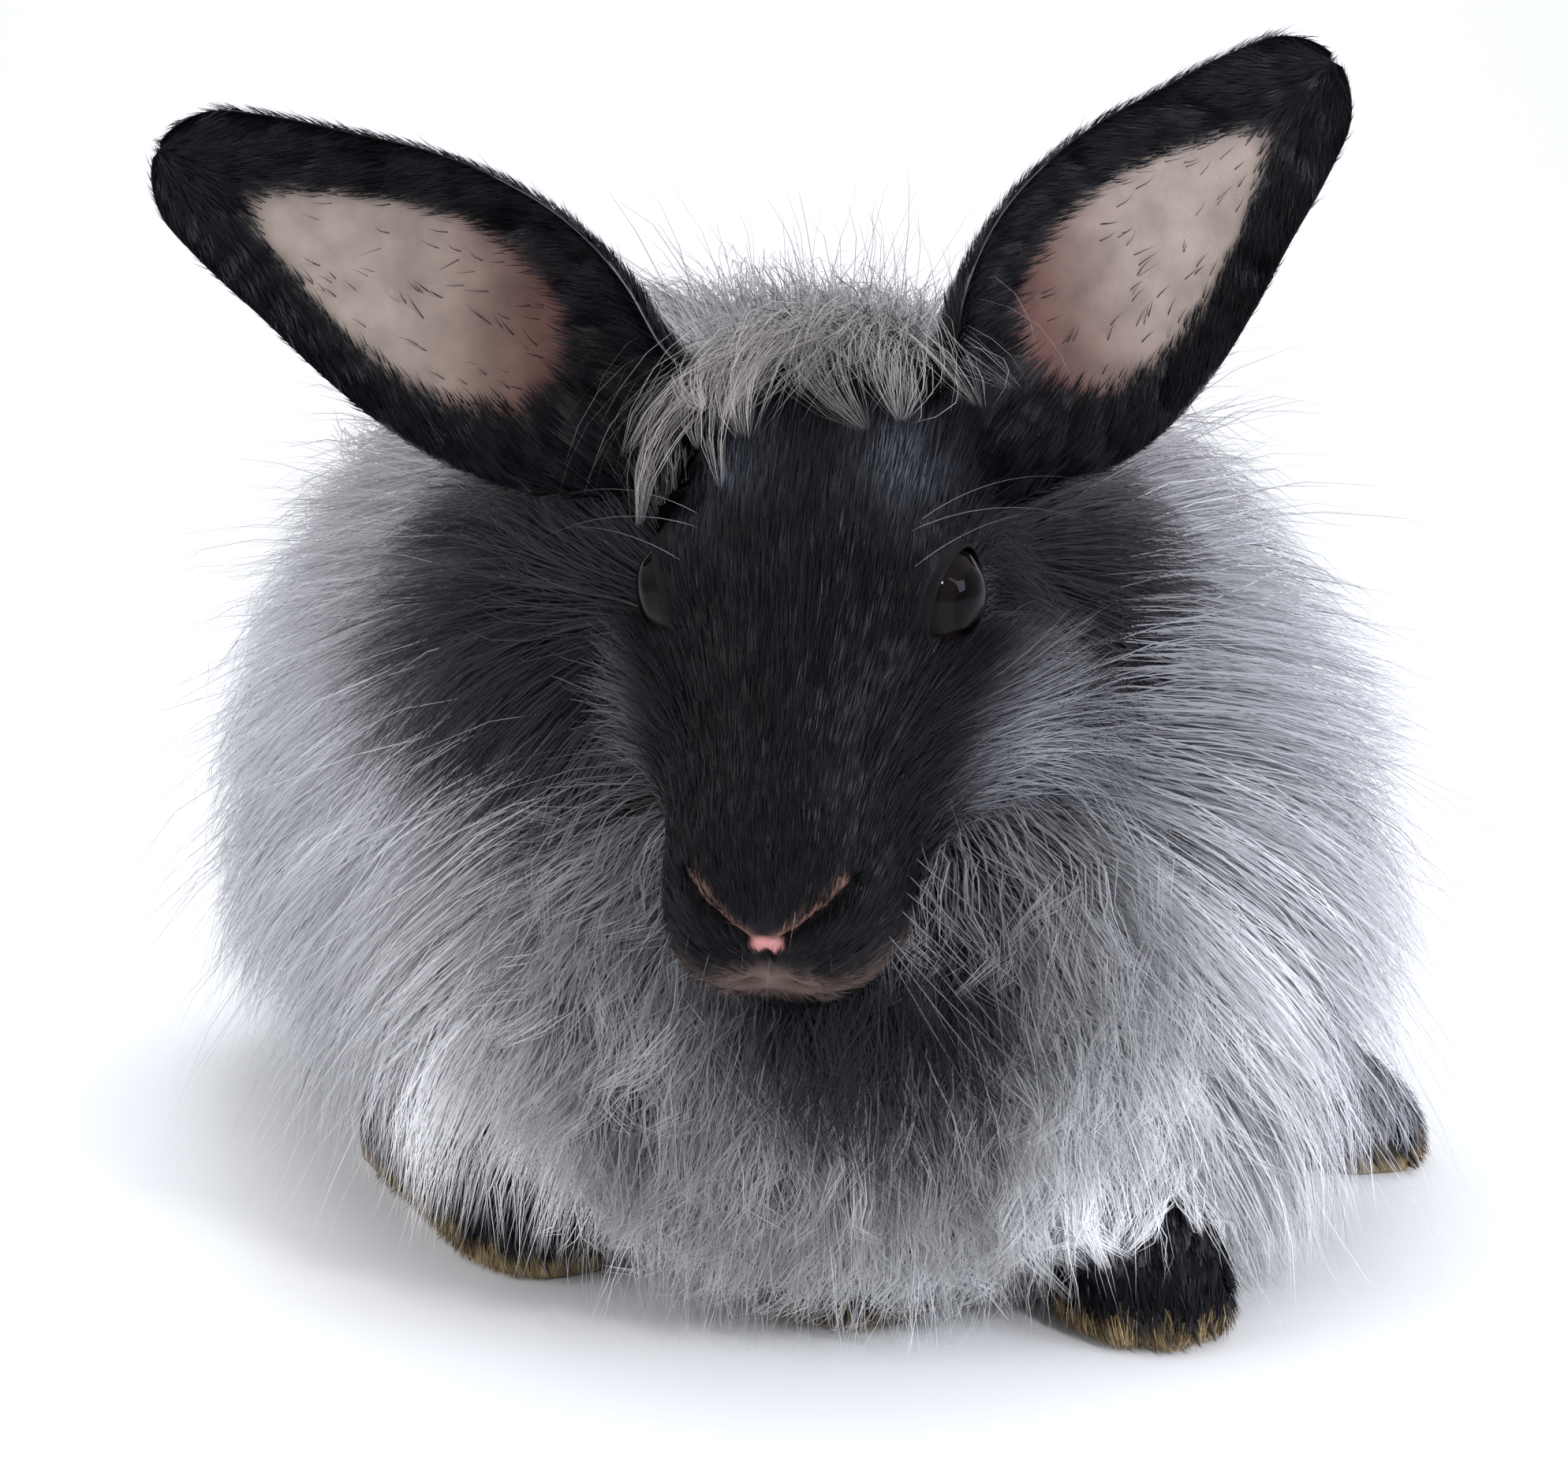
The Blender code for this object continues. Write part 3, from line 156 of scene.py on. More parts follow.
across = np.linspace(-4000.0, 4000.0, 9)
bend = np.radians(np.linspace(0.0, 90.0, 25))
sheet_run = np.concatenate([[-4000.0, -600.0, 0.0, 500.0], 900.0 + 500.0 * np.sin(bend), [1400.0]])
sheet_rise = np.concatenate([[0.0, 0.0, 0.0, 0.0], 500.0 * (1.0 - np.cos(bend)), [2200.0]])
paper = np.stack(np.broadcast_arrays(across[None, :], sheet_run[:, None], sheet_rise[:, None]), axis=-1)
backdrop_paper, tree, shader = new_material("white_paper_sheet")
shader.inputs["Roughness"].default_value = 0.9
shader.inputs["Base Color"].default_value = (*linear("#f4f5f7"), 1.0)
sheet = paper - PACKED * (0, 0, 1)
backdrop = add_object("floor_sheet", grid_mesh("floor_sheet", sheet, False, False), backdrop_paper)

# The room is white above and dimmer at its walls, with a dark place where the camera and its stand are.
room = bpy.data.worlds.new("bright_room")
bpy.context.scene.world = room
room.use_nodes = True
tree = room.node_tree
tree.nodes["Background"].inputs["Color"].default_value = (*linear("#f8f9fc"), 1.0)
where = node(tree, "ShaderNodeTexCoord")
toward = node(tree, "ShaderNodeVectorMath", {"operation": "DOT_PRODUCT", 1: (0.10, -0.86, 0.50)},
              {0: where.outputs["Generated"]})
level = mapped(tree, toward.outputs["Value"], (0.87, 0.96), (0.90, 0.06), "SMOOTHSTEP")
height = node(tree, "ShaderNodeSeparateXYZ", {}, {"Vector": where.outputs["Generated"]})
walls = mapped(tree, height.outputs["Z"], (0.05, 0.6), (0.75, 1.0), "SMOOTHSTEP")
lit = node(tree, "ShaderNodeMath", {"operation": "MULTIPLY"}, {0: level, 1: walls})
tree.links.new(lit.outputs["Value"], tree.nodes["Background"].inputs["Strength"])
bpy.context.scene.view_settings.view_transform = "Standard"


def soft_box(name, place, aim, size, power, colour):
    """A square lamp of a given side, in mm, turned to its aim."""
    lamp = bpy.data.lights.new(name, "AREA")
    lamp.size = size * MM
    lamp.energy = power
    lamp.color = linear(colour)
    made = bpy.data.objects.new(name, lamp)
    made.location = np.array(place) * MM
    way = unit(np.array(place, float) - np.array(aim, float))
    made.rotation_euler = (np.arccos(way[2]), 0.0, np.arctan2(way[0], -way[1]))
    bpy.context.collection.objects.link(made)


soft_box("soft_box_top", (-100, 250, 1150), (0, 0, 60), 900, 3.6, "#fbfcff")
soft_box("soft_box_left", (-900, -500, 620), (0, -60, 90), 500, 3.8, "#ffffff")
soft_box("soft_box_right", (760, -520, 430), (0, -60, 90), 340, 3.0, "#dfe8ff")
soft_box("soft_box_paper", (0, 350, 1300), (0, 1400, 500), 700, 4.4, "#ffffff")
soft_box("hair_light", (-120, 400, 940), (0, -100, 120), 170, 1.0, "#e6ecff")
soft_box("key_lamp", (330, -600, 380), (0, -110, 110), 65, 2.0, "#ffffff")

# Head
# Skull and muzzle under short fur: one skin drawn as rings from the lips to the poll, with the folds of
# the nostrils, the split lip and the mouth pressed into it, and the eyes sunk behind two lids.

NOSE_TIP = np.array([-2.8, -142.0, 72.0])
HEAD_SECTIONS = np.array([
    (0, 17, 4, -21, -9), (10, 17.6, 10.5, -24, -9), (22, 18.6, 16, -26, -7), (36, 21.4, 21.5, -29.5, 0),
    (48, 24, 26, -32, 8), (62, 24.2, 28.5, -33, 7), (76, 22.5, 28, -33, 2), (90, 20, 23.5, -30, -2),
    (104, 15, 14, -24, -4),
])
MUZZLE_ROUND = 12.0
HEAD_BUMPS = (
    ((8.5, 0, -9), 6.5, 2.0), ((-8.5, 0, -9), 6.5, 2.0), ((0, -1, 1), 4.5, 1.8), ((0, 2, -20), 6.0, 1.2),
    ((19, 50, 20), 8.0, 1.6), ((-19, 50, 20), 8.0, 1.6), ((19, 55, -14), 15.0, 4.0),
    ((-19, 55, -14), 15.0, 4.0),
)
HEAD_MIDDLE = (0.0, 45.0, -3.0)
ROUND_POWER = 2.4
EYE_CENTRE = (16.6, 50.5, 15.0)
EYE_RADIUS = 8.8
EYE_OPENING = (8.4, 7.6)
LID_RADIUS = 9.4
LID_ROUND = 1.2
LID_EDGE = 0.84
SOCKET_DEPTH = 3.0
EYE_OUTWARD = (0.95, -0.30, 0.12)
NOSTRIL = ((6.0, 47.0), (3.0, 55.0), (1.0, 68.0), (0.3, 80.0))
MOUTH = ((-0.95, -20.0), (-0.3, -12.0), (2.5, -13.0), (8.5, -16.0))
LIP_SPLIT = ((0.2, 90.0), (-0.4, 90.0), (-0.97, 90.0))


def turned(pitch, yaw):
    """Nose down by the pitch, then about the upright by the yaw, in degrees."""
    p, y = np.radians([pitch, yaw])
    pitched = np.array([[1, 0, 0], [0, np.cos(p), -np.sin(p)], [0, np.sin(p), np.cos(p)]])
    yawed = np.array([[np.cos(y), -np.sin(y), 0], [np.sin(y), np.cos(y), 0], [0, 0, 1]])
    return yawed @ pitched


HEAD_TURN = turned(40.0, -13.0)


def off_head(points):
    """Points on the head's own axes (across, back, up) in the world."""
    return np.asarray(points, float) @ HEAD_TURN.T + NOSE_TIP


def head_place(points):
    """How far across, back and up points lie on the head's own axes."""
    return np.moveaxis((points - NOSE_TIP) @ HEAD_TURN, -1, 0)


def ease(value):
    """Smooth step: 0 below 0, 1 above 1, and 3x^2 - 2x^3 between."""
    value = np.clip(value, 0.0, 1.0)
    return value * value * (3.0 - 2.0 * value)


def sections(table, at):
    """Columns of a table of sections at other places, by a cubic through its rows."""
    table = np.asarray(table, float)
    x, y = table[:, 0], table[:, 1:]
    slope = np.gradient(y, x, axis=0)
    at = np.clip(at, x[0], x[-1])
    i = np.clip(np.searchsorted(x, at) - 1, 0, len(x) - 2)
    h = (x[i + 1] - x[i])[..., None]
    u = (at - x[i])[..., None] / h
    value = (1 + 2 * u) * (1 - u) ** 2 * y[i] + u * (1 - u) ** 2 * h * slope[i]
    value += u**2 * (3 - 2 * u) * y[i + 1] + u**2 * (u - 1) * h * slope[i + 1]
    return np.moveaxis(value, -1, 0)


def head_form(back, angle, grow=0.0):
    """Skull under its coat: each section is a rounded diamond of the table's sizes, shrunk to a point at the
    lips by a power curve, with Gaussian swellings; grow moves it out from the middle of the head."""
    back, angle, grow = matched(back, angle, grow)
    half, top, under, widest = sections(HEAD_SECTIONS, np.maximum(back, 0.0))
    near = np.clip((back + 1.0) / (MUZZLE_ROUND + 1.0), 0.0, 1.0)
    rounding = (1.0 - (1.0 - near) ** ROUND_POWER) ** (1 / ROUND_POWER)
    c, s = np.cos(angle), np.sin(angle)
    x = half * np.sign(c) * np.abs(c) ** 0.88 * (1.0 - 0.20 * np.clip(-s, 0.0, 1.0) ** 2) * rounding
    rise = np.where(s > 0, (top - widest) * np.abs(s) ** 0.9, (under - widest) * np.abs(s) ** 0.86)
    z = -8.5 + (rise + widest + 8.5) * rounding
    points = np.stack([x, back + 0.10 * np.clip(-z - 10.0, 0.0, 30.0) * (1.0 - near), z], axis=-1)
    swelling = grow.copy()
    for place, radius, size in HEAD_BUMPS:
        swelling = swelling + size * np.exp(-((np.linalg.norm(points - place, axis=-1) / radius) ** 2))
    return off_head(points + unit(points - HEAD_MIDDLE) * swelling[..., None])


def to_path(points, path):
    """Distance of each point from a broken line."""
    start, step = path[:-1], np.diff(path, axis=0)
    share = np.einsum("...ij,ij->...i", points[..., None, :] - start, step) / (step**2).sum(axis=1)
    share = np.clip(share, 0.0, 1.0)
    return np.linalg.norm(points[..., None, :] - start - share[..., None] * step, axis=-1).min(axis=-1)


def skin_path(places, side, grow=-0.3, shift=0.0):
    """A smooth line over the muzzle through places given as (back, angle) on the left side."""
    places = np.array(places)
    at = np.linspace(0.0, len(places) - 1.0, 13)
    back = np.interp(at, range(len(places)), places[:, 0])
    angle = np.radians(np.interp(at, range(len(places)), places[:, 1]) + shift)
    return head_form(back, angle if side > 0 else np.pi - angle, grow)


def eye_axes(side):
    """Centre of an eye, its outward way, the way forward along the lids, and the way up across them."""
    centre = off_head(np.array(EYE_CENTRE) * (side, 1.0, 1.0))
    outward = unit(HEAD_TURN @ (np.array(EYE_OUTWARD) * (side, 1.0, 1.0)))
    forward = -HEAD_TURN[:, 1]
    forward = unit(forward - (forward @ outward) * outward)
    return centre, outward, forward, np.cross(outward, forward) * -side


def eye_place(points, side):
    """Where points lie round an eye: share of the lid opening, and the height above the eye's middle."""
    centre, outward, forward, up = eye_axes(side)
    a, b = (points - centre) @ forward, (points - centre) @ up
    return np.hypot(a / EYE_OPENING[0], b / EYE_OPENING[1]), a, b, (points - centre) @ outward


def coat_depth(back, angle):
    """Depth of the short coat: nothing at the nose and lips, 1.4 mm on the brow, 3 mm on the cheeks."""
    return 0.15 + 1.3 * ease(back / 26.0) + 1.6 * ease((back - 40.0) / 30.0) * ease(0.6 - np.sin(angle))


def head_skin(back, angle):
    """The skull drawn in by the coat, grooves pressed in as Gaussians of the distance from their paths, the
    nostril rims raised the same way, and the skin kept off the eyeball by a smooth maximum of its distance
    from the eye's middle and the lids' radius, with the opening cut back to an oval and sunk behind the
    globe."""
    points = head_form(back, angle, -coat_depth(back, angle))
    outward = unit(points - off_head(HEAD_MIDDLE))
    for side in (1, -1):
        for path, radius, depth in (
            (skin_path(NOSTRIL, side, shift=-4.0), 1.15, -2.3),
            (skin_path(NOSTRIL, side, shift=5.0), 1.5, 0.75),
            (skin_path(MOUTH, side), 1.0, -1.6),
            (skin_path(MOUTH, side, shift=13.0), 2.2, 0.5),
        ):
            away = to_path(points, path)
            points = points + outward * (depth * np.exp(-((away / radius) ** 2)))[..., None]
    away = to_path(points, skin_path(LIP_SPLIT, 1))
    points = points - outward * (1.3 * np.exp(-((away / 0.9) ** 2)))[..., None]
    for side in (1, -1):
        centre, outward, forward, up = eye_axes(side)
        away = np.linalg.norm(points - centre, axis=-1)
        kept = 0.5 * (away + LID_RADIUS + np.sqrt((away - LID_RADIUS) ** 2 + LID_ROUND**2))
        points = centre + unit(points - centre) * kept[..., None]
        share, a, b, high = eye_place(points, side)
        inside = (high > 0.0) & (share < 1.0)
        stretch = np.where(share > LID_EDGE, 1.0 / np.maximum(share, 0.5), 1.0)
        a, b = a * stretch, b * stretch
        ball = np.sqrt(np.maximum(EYE_RADIUS**2 - a**2 - b**2, 0.0))
        ball = ball + np.where(share > LID_EDGE, 0.3, -SOCKET_DEPTH)
        laid = centre + a[..., None] * forward + b[..., None] * up + ball[..., None] * outward
        points = np.where(inside[..., None], laid, points)
    return points


front_rows = -1.0 + (MUZZLE_ROUND + 1.0) * np.linspace(0.0, 1.0, 46) ** 1.8
head_rows = np.concatenate([front_rows, np.linspace(MUZZLE_ROUND, 104.0, 126)[1:]])
head_rows[0] = -0.9985
head_turns = np.linspace(0.0, 2.0 * np.pi, 216, endpoint=False)
skin_parts = [grid_mesh("head_skin", head_skin(head_rows[:, None], head_turns[None, :]))]

# Trunk, neck, legs and tail
# The body under the wool, as plain rings: it is seen only where the wool opens, so it holds no detail.

BODY_MIDDLE = np.array([-2.0, 45.0, 0.0])
BODY_TURN = turned(0.0, 10.0)
TRUNK_SECTIONS = np.array([
    (-101, 6, 54, 40), (-97, 30, 78, 20), (-86, 52, 99, 6), (-67, 70, 119, 0.4), (-40, 80, 133, -0.6),
    (-8, 83, 137, 0.4), (25, 79, 135, 4), (60, 71, 128, 6), (90, 62, 118, 7), (112, 54, 104, 9),
    (128, 42, 88, 16), (138, 26, 68, 27), (142, 5, 52, 44),
])
NECK_SECTIONS = np.array([
    (0.0, 4, -106, 112, 22, 27), (0.3, 4, -92, 108, 30, 34), (0.6, 3, -74, 101, 43, 39),
    (1.0, 2, -44, 90, 60, 41),
])
BIB_CENTRE = np.array([10.0, -90.0, 54.0])
BIB_HALF = np.array([42.0, 26.0, 38.0])
WOOL_ROOT = 7.0


def trunk_form(forward, angle, grow=0.0):
    """The trunk's rings: half a flattened oval above the widest line and half below, clamped to the floor."""
    forward, angle = matched(forward, angle)
    half, top, under = sections(TRUNK_SECTIONS, forward)
    c, s = np.cos(angle), np.sin(angle)
    middle = under + (top - under) * 0.42
    x = np.maximum(half + grow, 1.0) * np.sign(c) * np.abs(c) ** 0.9
    above, below = (top - middle + grow) * np.abs(s) ** 0.9, (under - middle - grow) * np.abs(s) ** 0.72
    z = middle + np.where(s > 0, above, below)
    points = np.stack([x, -forward, np.maximum(z, 1.0)], axis=-1)
    return points @ BODY_TURN.T + BODY_MIDDLE


def neck_form(share, angle, grow=0.0):
    """The neck's rings, oval, leaning back as they widen from the poll to the shoulders."""
    share, angle = matched(share, angle)
    x, y, z, half, tall = sections(NECK_SECTIONS, share)
    lean = np.radians(np.interp(share, (0.0, 1.0), (34.0, 6.0)))
    across, up = (half + grow) * np.cos(angle), (tall + grow) * np.sin(angle)
    sideways = y - up * np.sin(lean) + across * np.sin(np.radians(10.0))
    return np.stack([x + across, sideways, z + up * np.cos(lean)], axis=-1)


def bib_form(polar, angle, grow=0.0):
    """The egg-shaped bib of wool under the jaw, by angle down from its top and round it."""
    polar, angle = matched(polar, angle)
    way = np.stack([np.sin(polar) * np.cos(angle), np.sin(polar) * np.sin(angle), np.cos(polar)], axis=-1)
    return BIB_CENTRE + way * (BIB_HALF + grow)


around = np.linspace(0.0, 2.0 * np.pi, 72, endpoint=False)[None, :]
rump_rows = -101.0 + 20.0 * np.linspace(0, 1, 9) ** 1.5
trunk_rows = np.concatenate([rump_rows, np.linspace(-78, 120, 40), np.linspace(123, 141, 9)])
skin_parts.append(grid_mesh("trunk_skin", trunk_form(trunk_rows[::-1, None], around, -WOOL_ROOT)))
neck_rows = np.linspace(0.0, 1.0, 24)[:, None]
skin_parts.append(grid_mesh("neck_skin", neck_form(neck_rows, around, -WOOL_ROOT)))
bib_rows = np.linspace(0.15, np.pi - 0.15, 24)[:, None]
skin_parts.append(grid_mesh("bib_skin", bib_form(bib_rows, around, -WOOL_ROOT)))

FOREPAWS = {"left": ((55.0, -94.0), 4.0), "right": ((10.0, -84.0), -6.0)}
HIND_FEET = {"left": ((105.0, -17.0), (85.0, 60.0)), "right": ((-34.0, -74.0), (-70.0, 0.0))}


def forepaw_form(height, angle, centre, yaw, grow=0.0):
    """A forepaw's rings at heights off the floor: rounded oblongs that draw in to the wrist and lean back."""
    rings = np.array([
        (0, 11, 14.5, 0), (2, 13, 16.7, 0), (7, 13.5, 17.5, 0), (13, 12.5, 14.5, 2), (19, 10.5, 12.5, 6),
        (30, 9.5, 9.5, 9), (46, 10.5, 10.5, 14),
    ])
    height, angle = matched(height, angle)
    wide, long, lean = sections(rings, height)
    c, s = np.cos(angle), np.sin(angle)
    toes = 1.0 + 0.05 * np.cos(8.8 * np.arctan2(c, -s)) * ease((14.0 - height) / 6.0) * (s < 0)
    x = (wide + grow) * np.sign(c) * np.abs(c) ** 0.85
    y = (long + grow) * s * toes + lean
    points = np.stack([x, y, height], axis=-1)
    return points @ turned(0.0, yaw + 10.0).T + (*centre, 0.0)


def hind_form(share, angle, toe, heel, grow=0.0):
    """A hind foot's rings from toe to heel: flat below, domed above."""
    rings = np.array([
        (0, 0.45, 0.42), (0.05, 0.78, 0.66), (0.14, 1, 0.86), (0.3, 1, 0.96), (0.5, 0.9, 1),
        (0.72, 0.84, 1.1), (0.88, 0.8, 1.12), (0.97, 0.66, 0.95), (1, 0.42, 0.7),
    ])
    share, angle = matched(share, angle)
    wide, tall = sections(rings, share)
    toe, heel = np.array([*toe, 0.0]), np.array([*heel, 0.0])
    back, c, s = unit(heel - toe), np.cos(angle), np.sin(angle)
    side = np.cross((0.0, 0.0, 1.0), back)
    x = (12.5 * wide + grow) * np.sign(c) * np.abs(c) ** 0.8
    z = np.where(s > -0.35, (s + 0.35) / 1.35 * (18.0 * tall + grow), 0.0)
    run = np.linalg.norm(heel - toe) * share
    return toe + run[..., None] * back + x[..., None] * side + z[..., None] * (0.0, 0.0, 1.0)


for centre, yaw in FOREPAWS.values():
    rings = forepaw_form(np.linspace(0.3, 46.0, 30)[:, None], around[:, ::2], centre, yaw, -1.0)
    skin_parts.append(grid_mesh("paw_skin", rings))
for toe, heel in HIND_FEET.values():
    rings = hind_form(np.linspace(0.0, 1.0, 40)[:, None], around[:, ::2], toe, heel, -1.0)
    skin_parts.append(grid_mesh("foot_skin", rings + (0, 0, 0.3)))
TAIL_ROOT = np.array([0.0, 98.0, 62.0]) @ BODY_TURN.T + BODY_MIDDLE
TAIL_BACK = BODY_TURN[:, 1]


def tail_form(share, angle, grow=0.0):
    """The scut's rings along a line that leaves the rump and curls up as the square of the run."""
    share, angle = matched(share, angle)
    run, lift = share[..., None] * TAIL_BACK * 22.5, (share**2)[..., None] * np.array([0.0, 0.0, 18.0])
    middle = TAIL_ROOT + run + lift
    radius = 14.0 * np.interp(share, (0, 0.25, 0.6, 0.85, 1.0), (0.8, 1.0, 0.95, 0.7, 0.25)) + grow
    ring = np.cos(angle)[..., None] * BODY_TURN[:, 0] + np.sin(angle)[..., None] * np.array([0.0, -0.4, 0.92])
    return middle + radius[..., None] * ring


tail_rows = np.linspace(-0.3, 1.0, 16)[::-1, None]
skin_parts.append(grid_mesh("tail_skin", tail_form(tail_rows, around[:, ::3], -3.0)))

# Ears
# A leaf of gristle under thin skin: the cup is bare in the middle and furred at its rims and back.

EARS = {
    "right": ((-23.0, -90.0, 140.0), (-94.0, -82.0, 178.5), (-0.10, -0.97, -0.20)),
    "left": ((31.0, -90.0, 139.0), (84.5, -68.0, 192.0), (0.22, -0.96, -0.10)),
}
EAR_SECTIONS = np.array([
    (-0.14, 9.5, 12), (0, 13.5, 14), (0.10, 18.2, 14), (0.25, 21.6, 12), (0.40, 21.8, 10), (0.55, 19.9, 7.5),
    (0.70, 16.4, 5.5), (0.82, 13.6, 4), (0.90, 11.2, 2.8), (1.0, 8.2, 1.6),
])
EAR_TIP = 0.9
EAR_THICKNESS = 2.6
EAR_BOW = 5.0
EAR_CURVE = 2.15


def ear_axes(ear):
    """Base, axis, length, front and side of an ear."""
    base, tip, opening = (np.array(value) for value in ear)
    axis = unit(tip - base)
    front = unit(opening - (opening @ axis) * axis)
    return base, axis, np.linalg.norm(tip - base), front, np.cross(axis, front)


def ear_form(ear, share, across, skin, inset=0.0):
    """A cupped leaf: half width and depth by the share of its length, rounded off at the tip as an oval, a
    parabola over its width with the rims turned forward, and its back a skin's thickness behind; skin is 0 in
    the cup and 1 at the back."""
    base, axis, length, front, side = ear_axes(ear)
    share, a, skin = matched(share, across, skin)
    half, depth = sections(EAR_SECTIONS, share)
    past = np.clip((share - EAR_TIP) / (1.0 - EAR_TIP), 0.0, 0.999)
    half = half * np.sqrt(1.0 - past**ROUND_POWER) - inset
    bow = (EAR_BOW * np.sin(np.pi * np.clip(share, 0, 1)))[..., None]
    middle = base + share[..., None] * length * axis - bow * front
    back = depth * (1 - a**2) + EAR_THICKNESS * skin * (1 - 0.75 * a**6) - inset * (2 * skin - 1) * (1 - a**6)
    sideways = (half * np.sin(a * np.pi / EAR_CURVE))[..., None] * side
    return middle + (sideways - (back - depth * 0.45)[..., None] * front)


ear_across = np.linspace(-1.0, 1.0, 29)
for ear in EARS.values():
    tip_rows = EAR_TIP + (0.998 - EAR_TIP) * np.linspace(0, 1, 14)[1:] ** 0.6
    ear_rows = np.concatenate([np.linspace(-0.14, EAR_TIP, 64), tip_rows])[:, None]
    inner = ear_form(ear, ear_rows, ear_across[None, :], 0.0, 0.35)
    outer = ear_form(ear, ear_rows, ear_across[None, ::-1], 1.0, 0.35)
    skin_parts.append(grid_mesh("ear_skin", np.concatenate([inner, outer], axis=1)))

# Skin
# The parts above fused into one closed hide, tinted by place: black under the short coat, grey under the
# wool, pink at the nose, brown at the nostril rims and lips, and bare beige to red-brown in the ears, with
# painted shade darkening the nostril slits and the skin close under the chin.

first, *others = [add_object(mesh.name, mesh) for mesh in skin_parts]
fused = bpy.data.collections.new("skin_parts")
bpy.context.scene.collection.children.link(fused)
for part in others:
    bpy.context.collection.objects.unlink(part)
    fused.objects.link(part)
union = first.modifiers.new("union", "BOOLEAN")
union.operation, union.solver, union.operand_type, union.collection = "UNION", "MANIFOLD", "COLLECTION", fused
hide = bpy.data.meshes.new_from_object(first.evaluated_get(bpy.context.evaluated_depsgraph_get()))
for part in (first, *others):
    bpy.data.objects.remove(part)
bpy.data.collections.remove(fused)
hide.name = "skin"
skin = add_object("skin", hide)

BLACK, SOLE_TAN = linear("#111115"), linear("#a08d6c")
NOSE_PINK, RIM_BROWN, LIP_BROWN = linear("#b57c7c"), linear("#937062"), linear("#65554f")
EAR_BEIGE, EAR_RED, LID_PINK = linear("#94877f"), linear("#5f443e"), linear("#8d7674")
NOSE_PAD = head_form(0.15, np.pi / 2, -0.2)


def blend(first_tone, second_tone, share):
    """Each row between two tones, by a share for each."""
    return first_tone + (second_tone - first_tone) * np.asarray(share)[..., None]


def near_head(points):
    """How far points lie from a line through the skull, from the muzzle to the poll."""
    return to_path(points, off_head([[0.0, 12.0, -10.0], [0.0, 52.0, 0.0], [0.0, 82.0, 4.0]]))


def near_place(points, place):
    """How far points lie from a place on the head's axes, or from its mirror image."""
    x, back, up = head_place(points)
    return np.sqrt((np.abs(x) - place[0]) ** 2 + (back - place[1]) ** 2 + (up - place[2]) ** 2)


CHIN_SHADE = np.array([11.0, -106.0, 70.0])


def black_wool_and_chin_shade(points):
    """1 where the wool is black behind the eyes below the ears, and close under the chin, where the black is
    partly the wool's own and partly painted shade of the jaw.
    """
    temple = ease((np.where(points[..., 0] > 0.0, 40.0, 32.0) - near_place(points, (31.0, 72.0, 8.0))) / 12.0)
    # Under the chin the black is partly dark wool and partly painted shade of the jaw.
    under = np.linalg.norm((points - CHIN_SHADE) * (0.8, 1.0, 1.0), axis=-1)
    return np.maximum(temple, ease((17.0 - under) / 9.0))


def ear_place(points, ear):
    """Where points lie on an ear: share of its length, share of its half width, and depth behind the cup."""
    base, axis, length, front, side = ear_axes(ear)
    share = (points - base) @ axis / length
    half, depth = sections(EAR_SECTIONS, share)
    a = np.clip((points - base) @ side / half, -1.0, 1.0)
    a = np.arcsin(a) * EAR_CURVE / np.pi
    bow = EAR_BOW * np.sin(np.pi * np.clip(share, 0, 1))
    return share, a, -((points - base) @ front) - bow - depth * (1 - a**2) + depth * 0.45


def ear_bareness(share, a, side):
    """How bare the cup is: an oval off the middle, softened at its edge."""
    shape = ((share - 0.47) / 0.36) ** 2 + ((a - 0.10 * side) / (0.62 - 0.25 * share)) ** 2
    return ease((1.15 - shape) / 0.5)


def near_foot(points):
    """How far points lie, over the floor, from the middle line of the nearest foot."""
    lines = [np.array([centre, centre]) + ((0.0, -9.0), (0.0, 9.0)) for centre, yaw in FOREPAWS.values()]
    lines += [np.array([toe, heel]) for toe, heel in HIND_FEET.values()]
    return np.minimum.reduce([to_path(points[..., :2], line) for line in lines])


def lid_corner(points, side):
    """How close points are to the bare front corner of the lids, low on the side of the nose."""
    share, a, b, high = eye_place(points, side)
    low_front = ease((a / EYE_OPENING[0] - 0.45) / 0.4) * ease((1.0 - b) / 6.0)
    return np.exp(-(((share - 1.04) / 0.18) ** 2)) * (high > 0) * low_front


